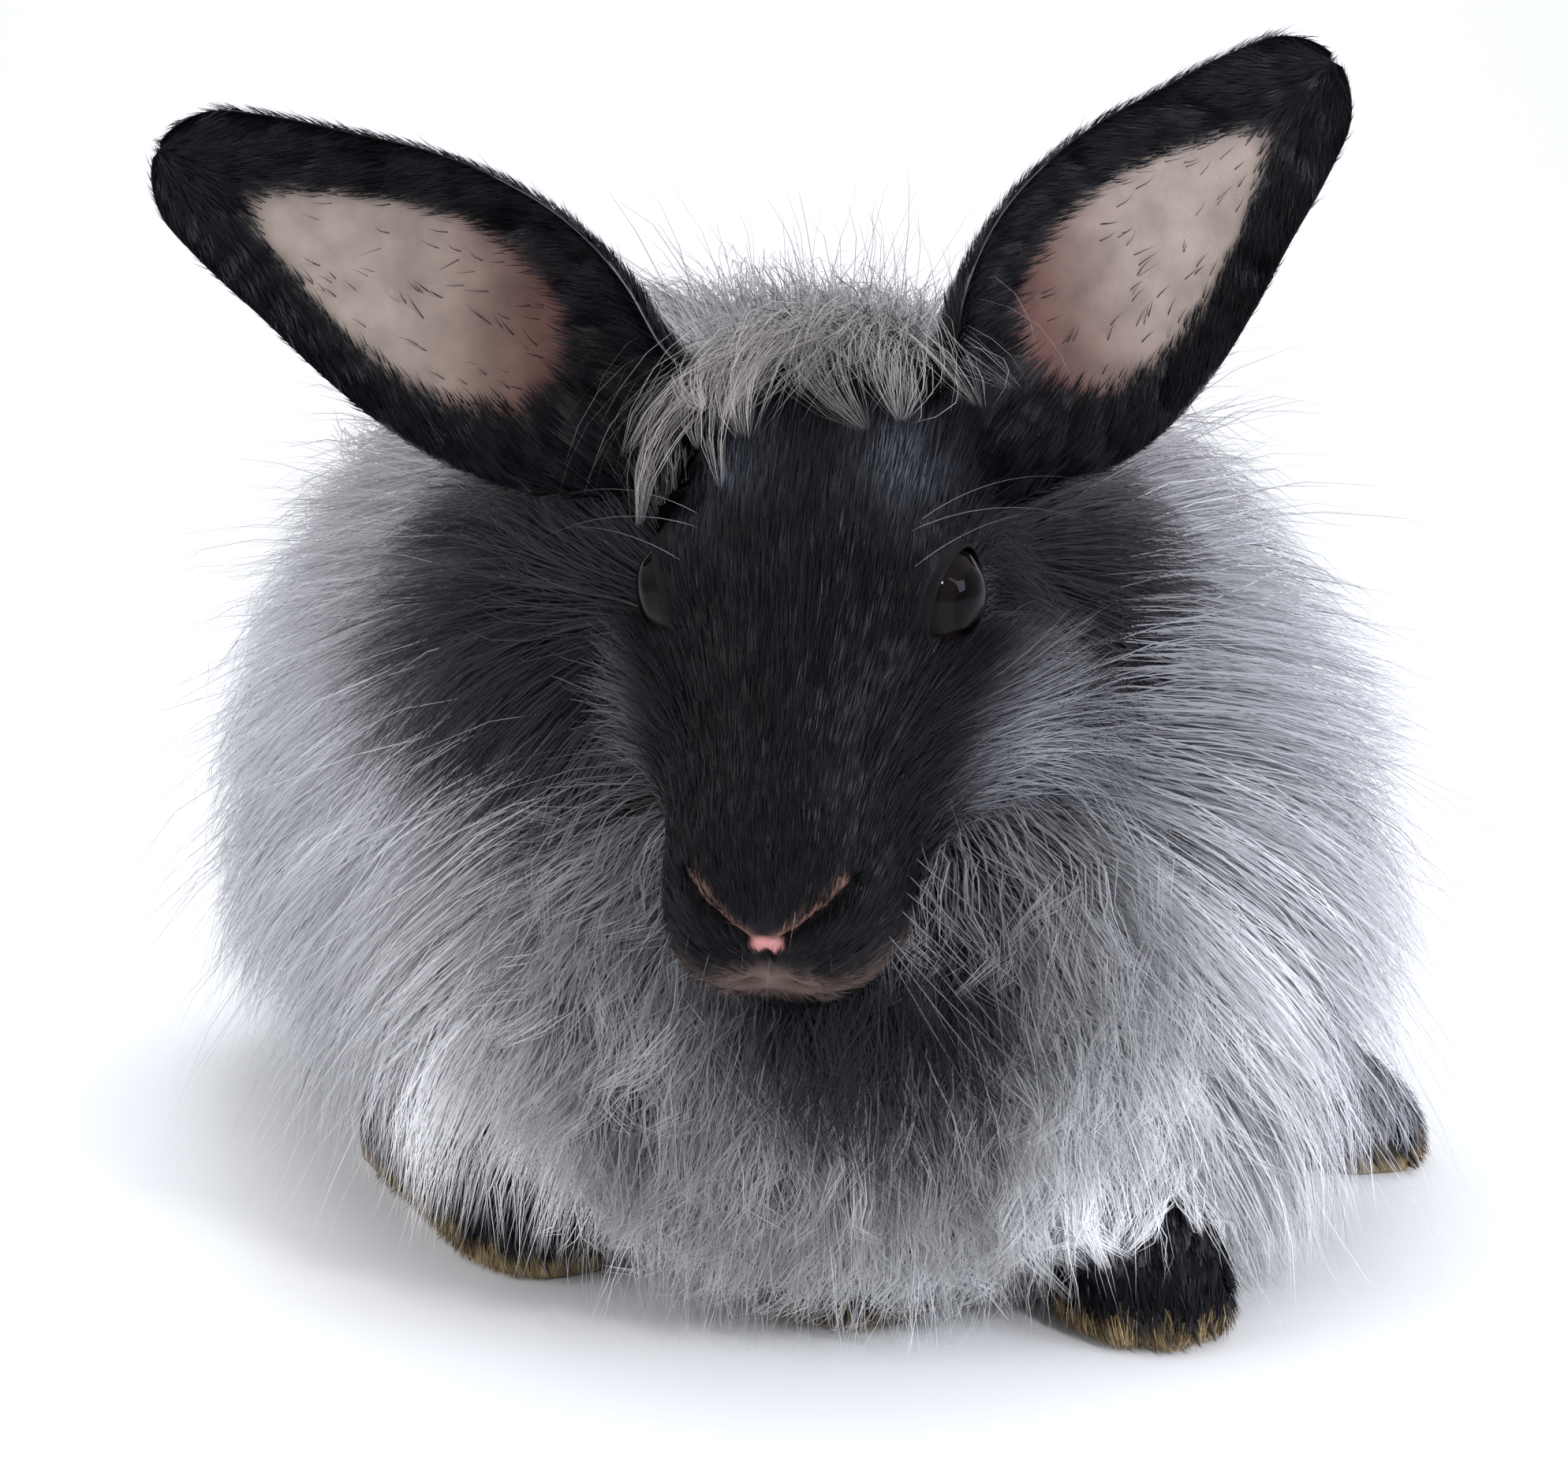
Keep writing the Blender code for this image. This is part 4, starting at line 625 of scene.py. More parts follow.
def marking(points):
    """Tone of the hide at points in mm, from their distances to the features of the face and the ears."""
    # The hide stays black where the wool is black and where shade of the jaw is painted under the chin.
    tone = blend(BLACK, linear("#66666d"), ease((near_head(points) - 30.0) / 9.0) * (1.0 - black_wool_and_chin_shade(points)))
    low = ease((16.0 - points[..., 2]) / 8.0) * (near_foot(points) < 24.0)
    tone = blend(tone, BLACK, low)
    tone = blend(tone, SOLE_TAN, low * ease((3.5 - points[..., 2]) / 2.0))
    for side, ear in ((-1, EARS["right"]), (1, EARS["left"])):
        share, a, depth = ear_place(points, ear)
        on_ear = (share > -0.02) & (share < 1.02) & (np.abs(depth - 1.3) < 2.6)
        bare = ear_bareness(share, a, side) * (depth < 1.2)
        flesh = blend(EAR_RED, EAR_BEIGE, ease((share - 0.20) / 0.35 + 0.5 * a * side))
        tone = np.where(on_ear[..., None], blend(BLACK, flesh, bare), tone)
    for side in (1, -1):
        rim = to_path(points, skin_path(NOSTRIL, side, shift=5.0))
        tone = blend(tone, RIM_BROWN, 0.9 * np.exp(-((rim / 0.95) ** 2)))
        # Painted shade: the skin down inside each nostril slit is darkened to near black.
        inside = to_path(points, skin_path(NOSTRIL, side, -1.2, -5.0))
        tone = blend(tone, linear("#0c0a0a"), np.exp(-((inside / 1.2) ** 2)))
        lips = to_path(points, skin_path(MOUTH, side))
        below = ease((-4.0 - head_place(points)[2]) / 5.0)
        tone = blend(tone, LIP_BROWN, 0.85 * below * np.exp(-((lips / 5.2) ** 2)))
        tone = blend(tone, LID_PINK, 0.8 * lid_corner(points, side))
    pad = np.linalg.norm((points - NOSE_PAD) * (1.0, 1.0, 1.9), axis=-1)
    return blend(tone, NOSE_PINK, ease((3.2 - pad) / 1.2))


def paint(mesh, tones):
    """Writes a tone for each point of the mesh as its attribute 'tone'."""
    layer = mesh.color_attributes.new("tone", "FLOAT_COLOR", "POINT")
    layer.data.foreach_set("color", np.concatenate([tones, np.ones((len(tones), 1))], axis=1).ravel())


place = np.empty(len(hide.vertices) * 3)
hide.vertices.foreach_get("co", place)
place = place.reshape(-1, 3) / MM - PACKED
paint(hide, marking(place))
hide.shade_smooth()

# Rabbit skin, fine-pored and dry: matte, with a faint oily sheen, and pores too small to see drawn at 0.5 mm.
rabbit_skin, tree, shader = new_material("rabbit_skin")
toned(tree, shader, 160.0, 4.0, 0.8, 1.2)
where = node(tree, "ShaderNodeTexCoord").outputs["Object"]
pores = node(tree, "ShaderNodeTexNoise", {"Scale": 2000.0, "Detail": 3.0}, {"Vector": where})
bump = node(tree, "ShaderNodeBump", {"Strength": 0.35, "Distance": 0.0003}, {"Height": pores.outputs["Fac"]})
tree.links.new(bump.outputs["Normal"], shader.inputs["Normal"])
shader.inputs["Roughness"].default_value = 0.6
shader.inputs["Specular IOR Level"].default_value = 0.1
hide.materials.clear()
hide.materials.append(rabbit_skin)
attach(skin, "root")
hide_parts("head", "neck", "torso", "tail", "ear_left", "ear_right", "foreleg_left", "foreleg_right",
            "hindleg_left", "hindleg_right")

# Eyes
# Near-black globes under a wet cornea. Each sits behind the thin dark rim of its lids, which is pink and bare
# at the front corner.

wet_eye, tree, shader = new_material("wet_eye")
tone = node(tree, "ShaderNodeAttribute", {"attribute_name": "tone"})
tree.links.new(tone.outputs["Color"], shader.inputs["Base Color"])
shader.inputs["Roughness"].default_value = 0.04
shader.inputs["IOR"].default_value = 1.18
LID_RIM = 0.5
for name, side in (("left", 1), ("right", -1)):
    centre, outward, forward, up = eye_axes(side)
    polar = np.linspace(0.0, np.pi, 49)[1:-1, None]
    turn = np.linspace(0.0, 2.0 * np.pi, 64, endpoint=False)[None, :]
    way = np.cos(polar)[..., None] * outward
    way = way + np.sin(polar)[..., None] * (np.cos(turn)[..., None] * forward + np.sin(turn)[..., None] * up)
    cornea = 0.35 * ease((0.75 - polar) / 0.35)
    globe = centre + way * (EYE_RADIUS + cornea)[..., None]
    mesh = grid_mesh(f"eyeball_{name}", globe)
    if side > 0:
        mesh.flip_normals()
    from_pupil = np.concatenate([np.repeat(polar[:, 0], 64), [0.0, np.pi]])
    tones = blend(linear("#010102"), linear("#120c0a"), ease((from_pupil - 0.52) / 0.1))
    tones = blend(tones, linear("#050405"), ease((from_pupil - 0.78) / 0.08))
    paint(mesh, blend(tones, linear("#3a3234"), ease((from_pupil - 1.5) / 0.1)))
    mesh.shade_smooth()
    eyeball = add_object(f"eyeball_{name}", mesh, wet_eye)
    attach(eyeball, "root")
    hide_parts(f"eye_{name}")
    opening = np.linspace(0.0, 2.0 * np.pi, 96, endpoint=False)[:, None]
    section = np.linspace(0.0, 2.0 * np.pi, 12, endpoint=False)[None, :]
    spread = 1.0 + LID_RIM / EYE_OPENING[0] * np.cos(section)
    a, b = EYE_OPENING[0] * np.cos(opening) * spread, EYE_OPENING[1] * np.sin(opening) * spread
    high = np.sqrt(np.maximum((EYE_RADIUS + 0.45) ** 2 - a**2 - b**2, 0.0)) + 2.0 * LID_RIM * np.sin(section)
    ring = centre + a[..., None] * forward + b[..., None] * up + high[..., None] * outward
    lids = grid_mesh(f"eyelids_{name}", np.concatenate([ring, ring[:1]]), capped=False)
    at = np.concatenate([ring, ring[:1]]).reshape(-1, 3)
    paint(lids, blend(linear("#0d0c0e"), LID_PINK * 0.8, lid_corner(at, side)))
    lids.shade_smooth()
    lid_piece = add_object(f"eyelids_{name}", lids, rabbit_skin)
    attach(lid_piece, "root")

# Short coat of the face
# Glossy black guard hairs, 3 mm on the muzzle and 6 mm on the brow, laid back from the nose. On the cheeks
# they lengthen without a break into grey wool.


def sampled(form, spans, keep, outward):
    """A form on a grid, for roots to be drawn from: its points, outward normals and the way that the first
    parameter grows, and each cell's share of the roots, which is its area times a keep of its own."""
    u, v = np.linspace(*spans[0], 201)[:, None], np.linspace(*spans[1], 241)[None, :]
    point = form(u, v)
    along = np.gradient(point, axis=0)
    cross = np.cross(along, np.gradient(point, axis=1))
    facing = point - point.mean(axis=(0, 1)) if outward is None else outward
    normal = unit(cross) * np.sign((cross * facing).sum())
    share = np.linalg.norm(cross, axis=-1)
    if keep is not None:
        share = share * keep(point, normal)
    share = np.maximum(share[:-1, :-1], 0.0)
    return np.concatenate([point, normal, unit(along)], axis=-1), share / share.sum()


def scatter(table, count):
    """Roots drawn by the cells' shares and put at random in their cells, bilinear between the points."""
    values, share = table
    i, j = np.divmod(rng.choice(share.size, count, p=share.ravel()), share.shape[1])
    a, b = rng.random((2, count, 1))
    low = values[i, j] * (1 - b) + values[i, j + 1] * b
    high = values[i + 1, j] * (1 - b) + values[i + 1, j + 1] * b
    mixed = low * (1 - a) + high * a
    place = np.stack([(i + a[:, 0]) / share.shape[0], (j + b[:, 0]) / share.shape[1]], axis=1)
    return mixed[:, :3], unit(mixed[:, 3:6]), unit(mixed[:, 6:]), place


def nearest(points, centres):
    """Index of the centre nearest to each point, from squared distances in blocks."""
    found = np.empty(len(points), int)
    for start in range(0, len(points), 4096):
        block = points[start : start + 4096]
        found[start : start + 4096] = ((centres**2).sum(axis=1) - 2.0 * block @ centres.T).argmin(axis=1)
    return found


def strand_lines(root, normal, lie, length, rise, sag, steps):
    """Curves that leave the skin at the rise's first angle, end at its second, and bend down by the sag."""
    t = (np.arange(steps) + 0.5) / steps
    angle = rise[:, :1] + (rise[:, 1:] - rise[:, :1]) * t
    way = np.cos(angle)[..., None] * lie[:, None] + np.sin(angle)[..., None] * normal[:, None]
    way[..., 2] -= sag[:, None] * t
    run = np.cumsum(unit(way), axis=1) * (length / steps)[:, None, None]
    return np.concatenate([root[:, None], root[:, None] + run], axis=1)


def strand_piece(name, lines, facing, bulge, width, root_tone, tip_tone, place, material):
    """Flat tapered strands as one mesh: two points a step and one at the tip, turned to a facing of their
    own, toned from root to tip, unwrapped as a small patch at each root's place on the skin, and shaded with
    normals that mix the strand's own facing with the bulge of the coat round it."""
    count, rows = lines.shape[:2]
    t = np.linspace(0.0, 1.0, rows)[:-1]
    tangent = unit(np.gradient(lines, axis=1))
    side = unit(np.cross(tangent, facing[:, None]))
    half = 0.5 * width[:, None] * (1.0 - t**2)
    reach = side[:, :-1] * half[..., None]
    pair = np.stack([lines[:, :-1] - reach, lines[:, :-1] + reach], axis=2)
    points = np.concatenate([pair.reshape(count, -1, 3), lines[:, -1:]], axis=1)
    shading = unit(bulge + 0.45 * np.cross(side, tangent))
    shading = np.concatenate([np.repeat(shading[:, :-1], 2, axis=1), shading[:, -1:]], axis=1)
    per = points.shape[1]
    share = np.append(np.repeat(t, 2), 1.0)
    tones = root_tone[:, None] + (tip_tone - root_tone)[:, None] * (share**0.8)[None, :, None]
    shift = np.stack([np.append(np.tile([-0.5, 0.5], rows - 1), 0.0), share - 0.5], axis=1) * 0.003
    patches = np.clip(place[:, None] + shift[None], 0.0, 1.0)
    step = np.arange(rows - 2)[:, None] * 2 + np.array([0, 1, 3, 2])
    start = np.arange(count)[:, None] * per
    quads = (start[..., None] + step[None]).reshape(-1)
    tips = (start + np.array([per - 3, per - 2, per - 1])).reshape(-1)
    corners = np.concatenate([quads, tips])
    mesh = bpy.data.meshes.new(name)
    mesh.vertices.add(count * per)
    mesh.vertices.foreach_set("co", ((points + PACKED) * MM).ravel())
    mesh.loops.add(len(corners))
    mesh.loops.foreach_set("vertex_index", corners)
    mesh.polygons.add(count * (rows - 1))
    starts = np.concatenate([np.arange(count * (rows - 2)) * 4, len(quads) + np.arange(count) * 3])
    mesh.polygons.foreach_set("loop_start", starts)
    mesh.update(calc_edges=True)
    mesh.uv_layers.new(name="OFBake").data.foreach_set("uv", patches.reshape(-1, 2)[corners].ravel())
    paint(mesh, tones.reshape(-1, 3))
    mesh.shade_smooth()
    mesh.attributes.new("custom_normal", "FLOAT_VECTOR", "POINT").data.foreach_set("vector", shading.ravel())
    piece = add_object(name, mesh, material)
    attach(piece, "root")
    return piece


def coat(name, form, spans, strands, style, tint, material, *, keep=None, outward=None, steps=5,
         width=0.25, group=(50, 8), pull=(0.5, 0.6), curl=(0.0, 12.0), fray=(0.16, 0.12), frizz=0.0,
         loose=0.05):
    """A coat grown in three levels: locks, tufts drawn towards the locks, and strands drawn towards the
    tufts. Tufts may curl, in a circle of the first size once round in the second length, and strands may
    frizz by a random step at each of their points, all in mm. Each lock is shaded as a round thing."""
    table = sampled(form, spans, keep, outward)
    t = np.linspace(0.0, 1.0, steps + 1)
    for level, count in enumerate((strands // (group[0] * group[1]) + 3, strands // group[1] + 3, strands)):
        root, normal, along, place = scatter(table, count)
        lie, length, rise, sag = style(root, normal, along)
        lie = unit(lie) + rng.normal(0.0, (fray[0], fray[1], fray[1] * 0.8)[level], lie.shape)
        lie = unit(lie - (lie * normal).sum(axis=1, keepdims=True) * normal)
        length = length * rng.uniform(0.80 + 0.04 * level, 1.12, count)
        rise = rise + rng.normal(0.0, 0.10, (count, 1))
        free = (rng.random(count) < loose) & (level == 2)
        length, rise = np.where(free, length * 1.2, length), rise + 0.2 * free[:, None]
        lines = strand_lines(root, normal, lie, length, rise, sag, steps)
        shade = np.exp(rng.normal(0.0, (0.16, 0.10, 0.08)[level], count))
        if level == 0:
            lock, lock_shade = lines, shade
        else:
            near = nearest(root, guides[:, 0])
            hold = pull[level - 1] * np.where(free, 0.15, 1.0)[:, None] * t**1.4
            lines = lines + (guides[near] - lines) * hold[..., None]
            lock, lock_shade = lock[near], lock_shade[near] * shade
        if level == 1 and curl[0] > 0.0:
            turns = (length / curl[1])[:, None] * t * 2.0 * np.pi + rng.uniform(0.0, 2.0 * np.pi, (count, 1))
            size = (curl[0] * rng.uniform(0.5, 1.3, (count, 1)) * t)[..., None]
            sway = np.sin(turns)[..., None] * np.cross(lie, normal)[:, None]
            lines = lines + size * (sway + np.cos(turns)[..., None] * normal[:, None])
        guides = lines
    lines[:, 1:] += rng.normal(0.0, max(frizz, 1e-6), lines[:, 1:].shape)
    lines[..., 2] = np.maximum(lines[..., 2], 0.3 + rng.uniform(0.0, 1.2, (count, 1)))
    off_lock = lines - lock
    off_lock /= np.maximum(np.linalg.norm(off_lock, axis=-1, keepdims=True), 4.0)
    root_tone, tip_tone = tint(root)
    facing = unit(normal + rng.normal(0.0, 0.40, normal.shape))
    wide = width * rng.uniform(0.7, 1.2, count) * np.where(free, 0.6, 1.0)
    lock_shade, bulge = lock_shade[:, None], 0.7 * normal[:, None] + 0.75 * off_lock
    piece = strand_piece(name, lines, facing, bulge, wide, root_tone * lock_shade, tip_tone * lock_shade,
                         place, material)


def fibre(name, roughness, sheen, specular):
    """Hair: colour from the strands' own tone, broken up a little along them, and a soft gloss."""
    made, tree, shader = new_material(name)
    toned(tree, shader, 90.0, 2.0, 0.86, 1.14)
    shader.inputs["Roughness"].default_value = roughness
    shader.inputs["Specular IOR Level"].default_value = specular
    shader.inputs["Sheen Weight"].default_value = sheen
    shader.inputs["Sheen Roughness"].default_value = 0.4
    return made


# Guard hair is smooth and waxy, so it glints; wool is fine and matt, with a pale bloom at grazing angles.
guard_hair = fibre("guard_hair", 0.36, 0.0, 0.12)
angora_wool = fibre("angora_wool", 0.8, 0.2, 0.15)

DOWN = np.array([0.0, 0.0, -1.0])
FULL_TURN = (0.0, 2.0 * np.pi)


def rises(root, first, last):
    """Angles off the skin at each strand's root and tip, given in degrees, one for all or one for each."""
    return np.radians(np.stack(np.broadcast_arrays(first, last, root[:, 0])[:2], axis=1))


def cheek_share(points):
    """0 on the face and 1 on the cheek wool, by place on the head's axes."""
    x, back, up = head_place(points)
    front = ease((back - 9.0) / 34.0) * (1.0 - ease((back - 66.0) / 14.0) * ease((up + 16.0) / 12.0))
    return front * ease((17.0 - up) / 22.0) * ease((np.abs(x) - 7.0) / 11.0)


def head_style(root, normal, along):
    """Hair of the head: back from the nose, shorter at the eyes, and out and down over the cheeks and jaw."""
    x, back, up = head_place(root)
    cheek, jaw = cheek_share(root), ease((back - 10.0) / 34.0) * ease((-15.0 - up) / 10.0)
    outward = HEAD_TURN[:, 0] * np.sign(x)[:, None]
    lie = along + cheek[:, None] * (0.9 * outward + 1.1 * DOWN) + 0.5 * jaw[:, None] * DOWN
    rear = ease((back - 62.0) / 18.0)
    chin = ease((14.0 - back) / 8.0) * ease((-14.0 - up) / 7.0)
    length = 2.6 + 3.2 * ease((back - 4.0) / 50.0) + 33.0 * cheek**1.3 + 12.0 * jaw + 5.0 * rear + 6.0 * chin
    for side in (1, -1):
        share, a, b, high = eye_place(root, side)
        length = length * (0.45 + 0.55 * np.where(high < 0, 1.0, ease((share - 1.0) / 0.6)))
    rise = rises(root, 15.0 + 37.0 * cheek + 16.0 * jaw + 25.0 * chin, 4.0 + 6.0 * cheek)
    return lie, length, rise, 0.45 * cheek + 0.3 * jaw


def head_tint(root):
    """Black hair that greys at the tips as it lengthens, the browner hair of the lips and nostrils, and a
    painted bluish sheen on the hair tips over the two brows."""
    cheek = cheek_share(root)
    base = marking(root)
    brown = ease((base.max(axis=1) - 0.03) / 0.1)[:, None] * (head_place(root)[2] < 0.0)[:, None]
    black = blend(linear("#0a0a0e"), linear("#18181e"), rng.random(len(root)) ** 2)
    root_tone = black * (1 - brown) + base * brown * 0.7
    tip_tone = black * 1.2 * (1 - brown) + base * brown * rng.uniform(0.9, 1.6, (len(root), 1))
    x, back, up = head_place(root)
    # Painted sheen: hair tips over the brows are lightened to bluish grey where light would glint on them.
    painted_brow_sheen = np.exp(-(((np.abs(x) - 12.0) / 5.5) ** 2) - ((back - 63.0) / 7.5) ** 2) * ease((up - 14.0) / 6.0)
    tip_tone = blend(tip_tone, linear("#767c8c"), painted_brow_sheen * rng.random(len(root)) ** 2)
    left = 0.4 + 0.6 * ease((x + 12.0) / 24.0)
    grey = linear("#a9a9b1") * (rng.uniform(0.75, 1.1, len(root)) * left)[:, None]
    # No grey tips where the wool is black, nor in the painted shade under the chin.
    tip_tone = blend(tip_tone, grey, ease((cheek - 0.38) / 0.45) * (1.0 - black_wool_and_chin_shade(root)))
    return blend(root_tone, linear("#2a2a30"), ease((cheek - 0.45) / 0.5)), tip_tone


def off_features(points, normal):
    """No hair on the eyes, the nose pad and the slits."""
    clear = 1.0
    for side in (1, -1):
        share, a, b, high = eye_place(points, side)
        clear = clear * (1.0 - (high > 0) * (share < 1.05)) * (1.0 - 0.8 * (lid_corner(points, side) > 0.4))
        clear = clear * ease((to_path(points, skin_path(NOSTRIL, side, shift=-4.0)) - 0.9) / 0.7)
        clear = clear * ease((to_path(points, skin_path(MOUTH, side)) - 0.8) / 0.8)
    return clear * ease((np.linalg.norm(points - NOSE_PAD, axis=-1) - 2.6) / 0.8)


def face_only(points, normal):
    """Short coat everywhere that the cheek wool leaves."""
    return off_features(points, normal) * (1.0 - 0.85 * ease((cheek_share(points) - 0.25) / 0.4))


def cheek_only(points, normal):
    """The longer hair of the cheeks and jaw."""
    x, back, up = head_place(points)
    jaw = ease((back - 8.0) / 20.0) * ease((-12.0 - up) / 10.0)
    return ease((np.maximum(cheek_share(points), jaw) - 0.04) / 0.25) * (off_features(points, normal) > 0.5)


coat("face_coat", head_skin, ((-0.9, 102.0), FULL_TURN), 65000, head_style, head_tint, guard_hair,
     keep=face_only, steps=2, width=0.15, group=(12, 3), pull=(0.1, 0.2), fray=(0.05, 0.09), loose=0.02)
coat("cheek_coat", head_skin, ((5.0, 96.0), FULL_TURN), 21500, head_style, head_tint, angora_wool,
     keep=cheek_only, width=0.20, group=(40, 9), pull=(0.4, 0.5), curl=(1.0, 34.0), fray=(0.18, 0.14),
     frizz=0.15)

# Forelock
# A tuft of grey wool that stands up between the ears and falls forward over the brow in wispy points.


def forelock_style(root, normal, along):
    """Up off the poll, forward and towards the right ear, with the left end hanging straight."""
    across = head_place(root)[0] / 22.0
    lie = (np.array([-0.6, -1.0, 0.1]) + across[:, None] * (0.6, 0.0, 0.0)) @ HEAD_TURN.T
    length = rng.uniform(24.0, 42.0, len(root)) - 5.0 * across**2
    return lie, length, rises(root, rng.uniform(44.0, 76.0, len(root)), -34.0), np.full(len(root), 0.7)


def forelock_tint(root):
    """Pale brownish grey, darker at the skin."""
    tip = linear("#b3adab") * rng.uniform(0.7, 1.1, (len(root), 1))
    return np.broadcast_to(linear("#302e30"), tip.shape), tip


coat("forelock", lambda u, v: head_form(u, v, -1.5), ((87.0, 99.0), np.radians((64.0, 128.0))), 1150,
     forelock_style, forelock_tint, angora_wool, steps=7, width=0.17, group=(2, 38), pull=(0.1, 0.95),
     curl=(1.2, 30.0), fray=(0.5, 0.5), frizz=0.15, loose=0.1)

# Fur of the ears
# Black velvet on the back and the broad margins, thinning to single hairs over the bare skin of the cup.


def ear_coats(label, ear, side):
    """The cup's hair lies from the rims to the middle and the tip, and the back's lies to the tip."""
    base, axis, ear_length, front, across = ear_axes(ear)

    def inward(root, normal, along):
        share, a, depth = ear_place(root, ear)
        lie = along - across * (0.75 * np.sign(a) * np.abs(a) ** 0.5)[:, None]
        length = 3.2 + 2.5 * ease((0.25 - share) / 0.2)
        return lie, length, rises(root, 34.0, 8.0), np.zeros(len(root))

    def tipward(root, normal, along):
        length = 3.4 + 3.0 * ease((0.2 - ear_place(root, ear)[0]) / 0.3)
        return along, length, rises(root, 20.0, 8.0), np.zeros(len(root))

    def furred(points, normal):
        share, a, depth = ear_place(points, ear)
        return 1.012 - ear_bareness(share, a, side)

    def velvet(root):
        black = blend(linear("#0d0d11"), linear("#1c1c22"), rng.random(len(root)) ** 2)
        return black, black * 1.25

    coat(f"ear_cup_fur_{label}", lambda u, v: ear_form(ear, u, v, 0.0, 0.35), ((-0.13, 0.985), (-1.0, 1.0)),
         15000, inward, velvet, guard_hair, keep=furred, outward=front, steps=2, width=0.16, group=(20, 5),
         pull=(0.2, 0.3), fray=(0.15, 0.15))
    coat(f"ear_back_fur_{label}", lambda u, v: ear_form(ear, u, v, 1.0, 0.35), ((-0.13, 0.99), (-1.0, 1.0)),
         10500, tipward, velvet, guard_hair, outward=-front, steps=2, width=0.22, group=(20, 5),
         pull=(0.2, 0.3), fray=(0.1, 0.12))


ear_coats("right", EARS["right"], -1)
ear_coats("left", EARS["left"], 1)

# Wool of the neck and chest
# A ruff that parts round the face and a mane behind the ears, and a bib of crimped wool that hangs from the
# jaw to the floor before the forelegs.

FACE_MIDDLE = off_head([0.0, 34.0, -6.0])


def wool_tint(root):
    """Grey wool: darker at its roots, black where the dark wool is and close under the chin, where painted
    shade of the jaw is part of it, palest on the chest, and warmer and darker on the nape and mane."""
    x, back, up = head_place(root)
    nape = ease((back - 84.0) / 12.0) * ease((up + 4.0) / 12.0)
    near = ease((52.0 - near_head(root)) / 20.0) * (1.0 - nape)
    # dark includes the painted shade of the jaw close under the chin.
    dark = black_wool_and_chin_shade(root)
    high = ease((root[:, 2] - 94.0) / 26.0)
    chest = ease((96.0 - root[:, 2]) / 40.0) * ease((-30.0 - root[:, 1]) / 50.0)
    tip = blend(blend(linear("#cdcdd4"), linear("#f4f4f6"), chest), linear("#7d7877"), high)
    tip = tip * rng.uniform(0.8, 1.1, (len(root), 1))
    root_tone = blend(linear("#85858c"), linear("#2a2a30"), np.maximum(near, dark))
    return root_tone, blend(tip * (1.0 - 0.55 * near[:, None]), linear("#1f1f24"), dark**1.5)


def ruff_style(root, normal, along):
    """Locks that leave the face on all sides and fall, but lie back from the temples."""
    away = unit(root - FACE_MIDDLE)
    x, back, up = head_place(root)
    temple = ease((up + 2.0) / 10.0) * ease((98.0 - back) / 14.0)
    lie = away + DOWN * (0.9 - 0.6 * normal[:, 2:]) + (0.0, 0.15, 0.0)
    lie = lie + 2.5 * temple[:, None] * HEAD_TURN[:, 1]
    nape = np.clip(normal[:, 2], 0.0, 1.0)
    length = (48.0 - 8.0 * nape + rng.uniform(-4.0, 4.0, len(root))) * (1.0 - 0.55 * temple)
    rise = rises(root, 50.0 + 8.0 * nape - 30.0 * temple, 2.0 + 12.0 * nape * (1.0 - temple))
    return lie, length, rise, 0.5 - 0.3 * nape


def ruff_keep(points, normal):
    """Only where the neck leaves the head, and not over its crown."""
    x, back, up = head_place(points)
    return (back > 95.0) | (near_head(points) > 25.0) & ((back > 87.0) | (up < 15.0))


coat("ruff_wool", lambda u, v: neck_form(u, v, -5.0), ((0.05, 0.98), FULL_TURN), 22000, ruff_style, wool_tint,
     angora_wool, keep=ruff_keep, group=(22, 10), pull=(0.55, 0.6), curl=(1.8, 36.0), frizz=0.3)


def bib_style(root, normal, along):
    """Wool that stands forward off the chest and falls in curls."""
    lie = DOWN + 0.35 * unit(root - BIB_CENTRE) + (0.0, -0.12, 0.0)
    length = 32.0 + 10.0 * ease((root[:, 2] - 30.0) / 40.0)
    return lie, length, rises(root, 54.0, -4.0), np.full(len(root), 0.5)


coat("bib_wool", lambda u, v: bib_form(u, v, -5.0), ((0.5, 2.7), (-np.pi - 0.6, 0.6)), 11700, bib_style,
     wool_tint, angora_wool, steps=9, width=0.30, group=(16, 12), pull=(0.3, 0.9), curl=(4.2, 18.0),
     fray=(0.3, 0.25), frizz=0.3, loose=0.08)

# Wool of the trunk and tail
# Long wool that parts at the spine and falls over the flanks and rump in overlapping locks.


def trunk_style(root, normal, along):
    """Locks laid back along the body, falling more the steeper the skin, outward round the shoulders, and
    shorter over the right hind foot."""
    low = ease((60.0 - root[:, 2]) / 55.0)
    forward = -((root - BODY_MIDDLE) @ BODY_TURN)[:, 1]
    collar, steep = ease((forward - 10.0) / 90.0)[:, None], 1.0 - normal[:, 2:]
    lie = BODY_TURN[:, 1] * (1.0 - 0.75 * collar) + DOWN * steep * (1.0 + 0.4 * collar)
    lie = lie + BODY_TURN[:, 0] * np.sign(normal[:, :1]) * 0.5 * collar * (1.0 - steep)
    rise = rises(root, 46.0 - 8.0 * low + 8.0 * collar[:, 0], 2.0 + 8.0 * collar[:, 0])
    over_foot = ease((56.0 - to_path(root[:, :2], np.array(HIND_FEET["right"]))) / 16.0)
    over_foot = over_foot * ease((62.0 - root[:, 2]) / 24.0)
    return lie, (62.5 - 22.0 * low) * (1.0 - 0.6 * over_foot), rise, np.full(len(root), 0.35)


def trunk_keep(points, normal):
    """Not under the belly, and not where the neck covers the shoulders."""
    return (normal[..., 2] > -0.75) * (points[..., 2] > 4.0) * (near_head(points) > 40.0)


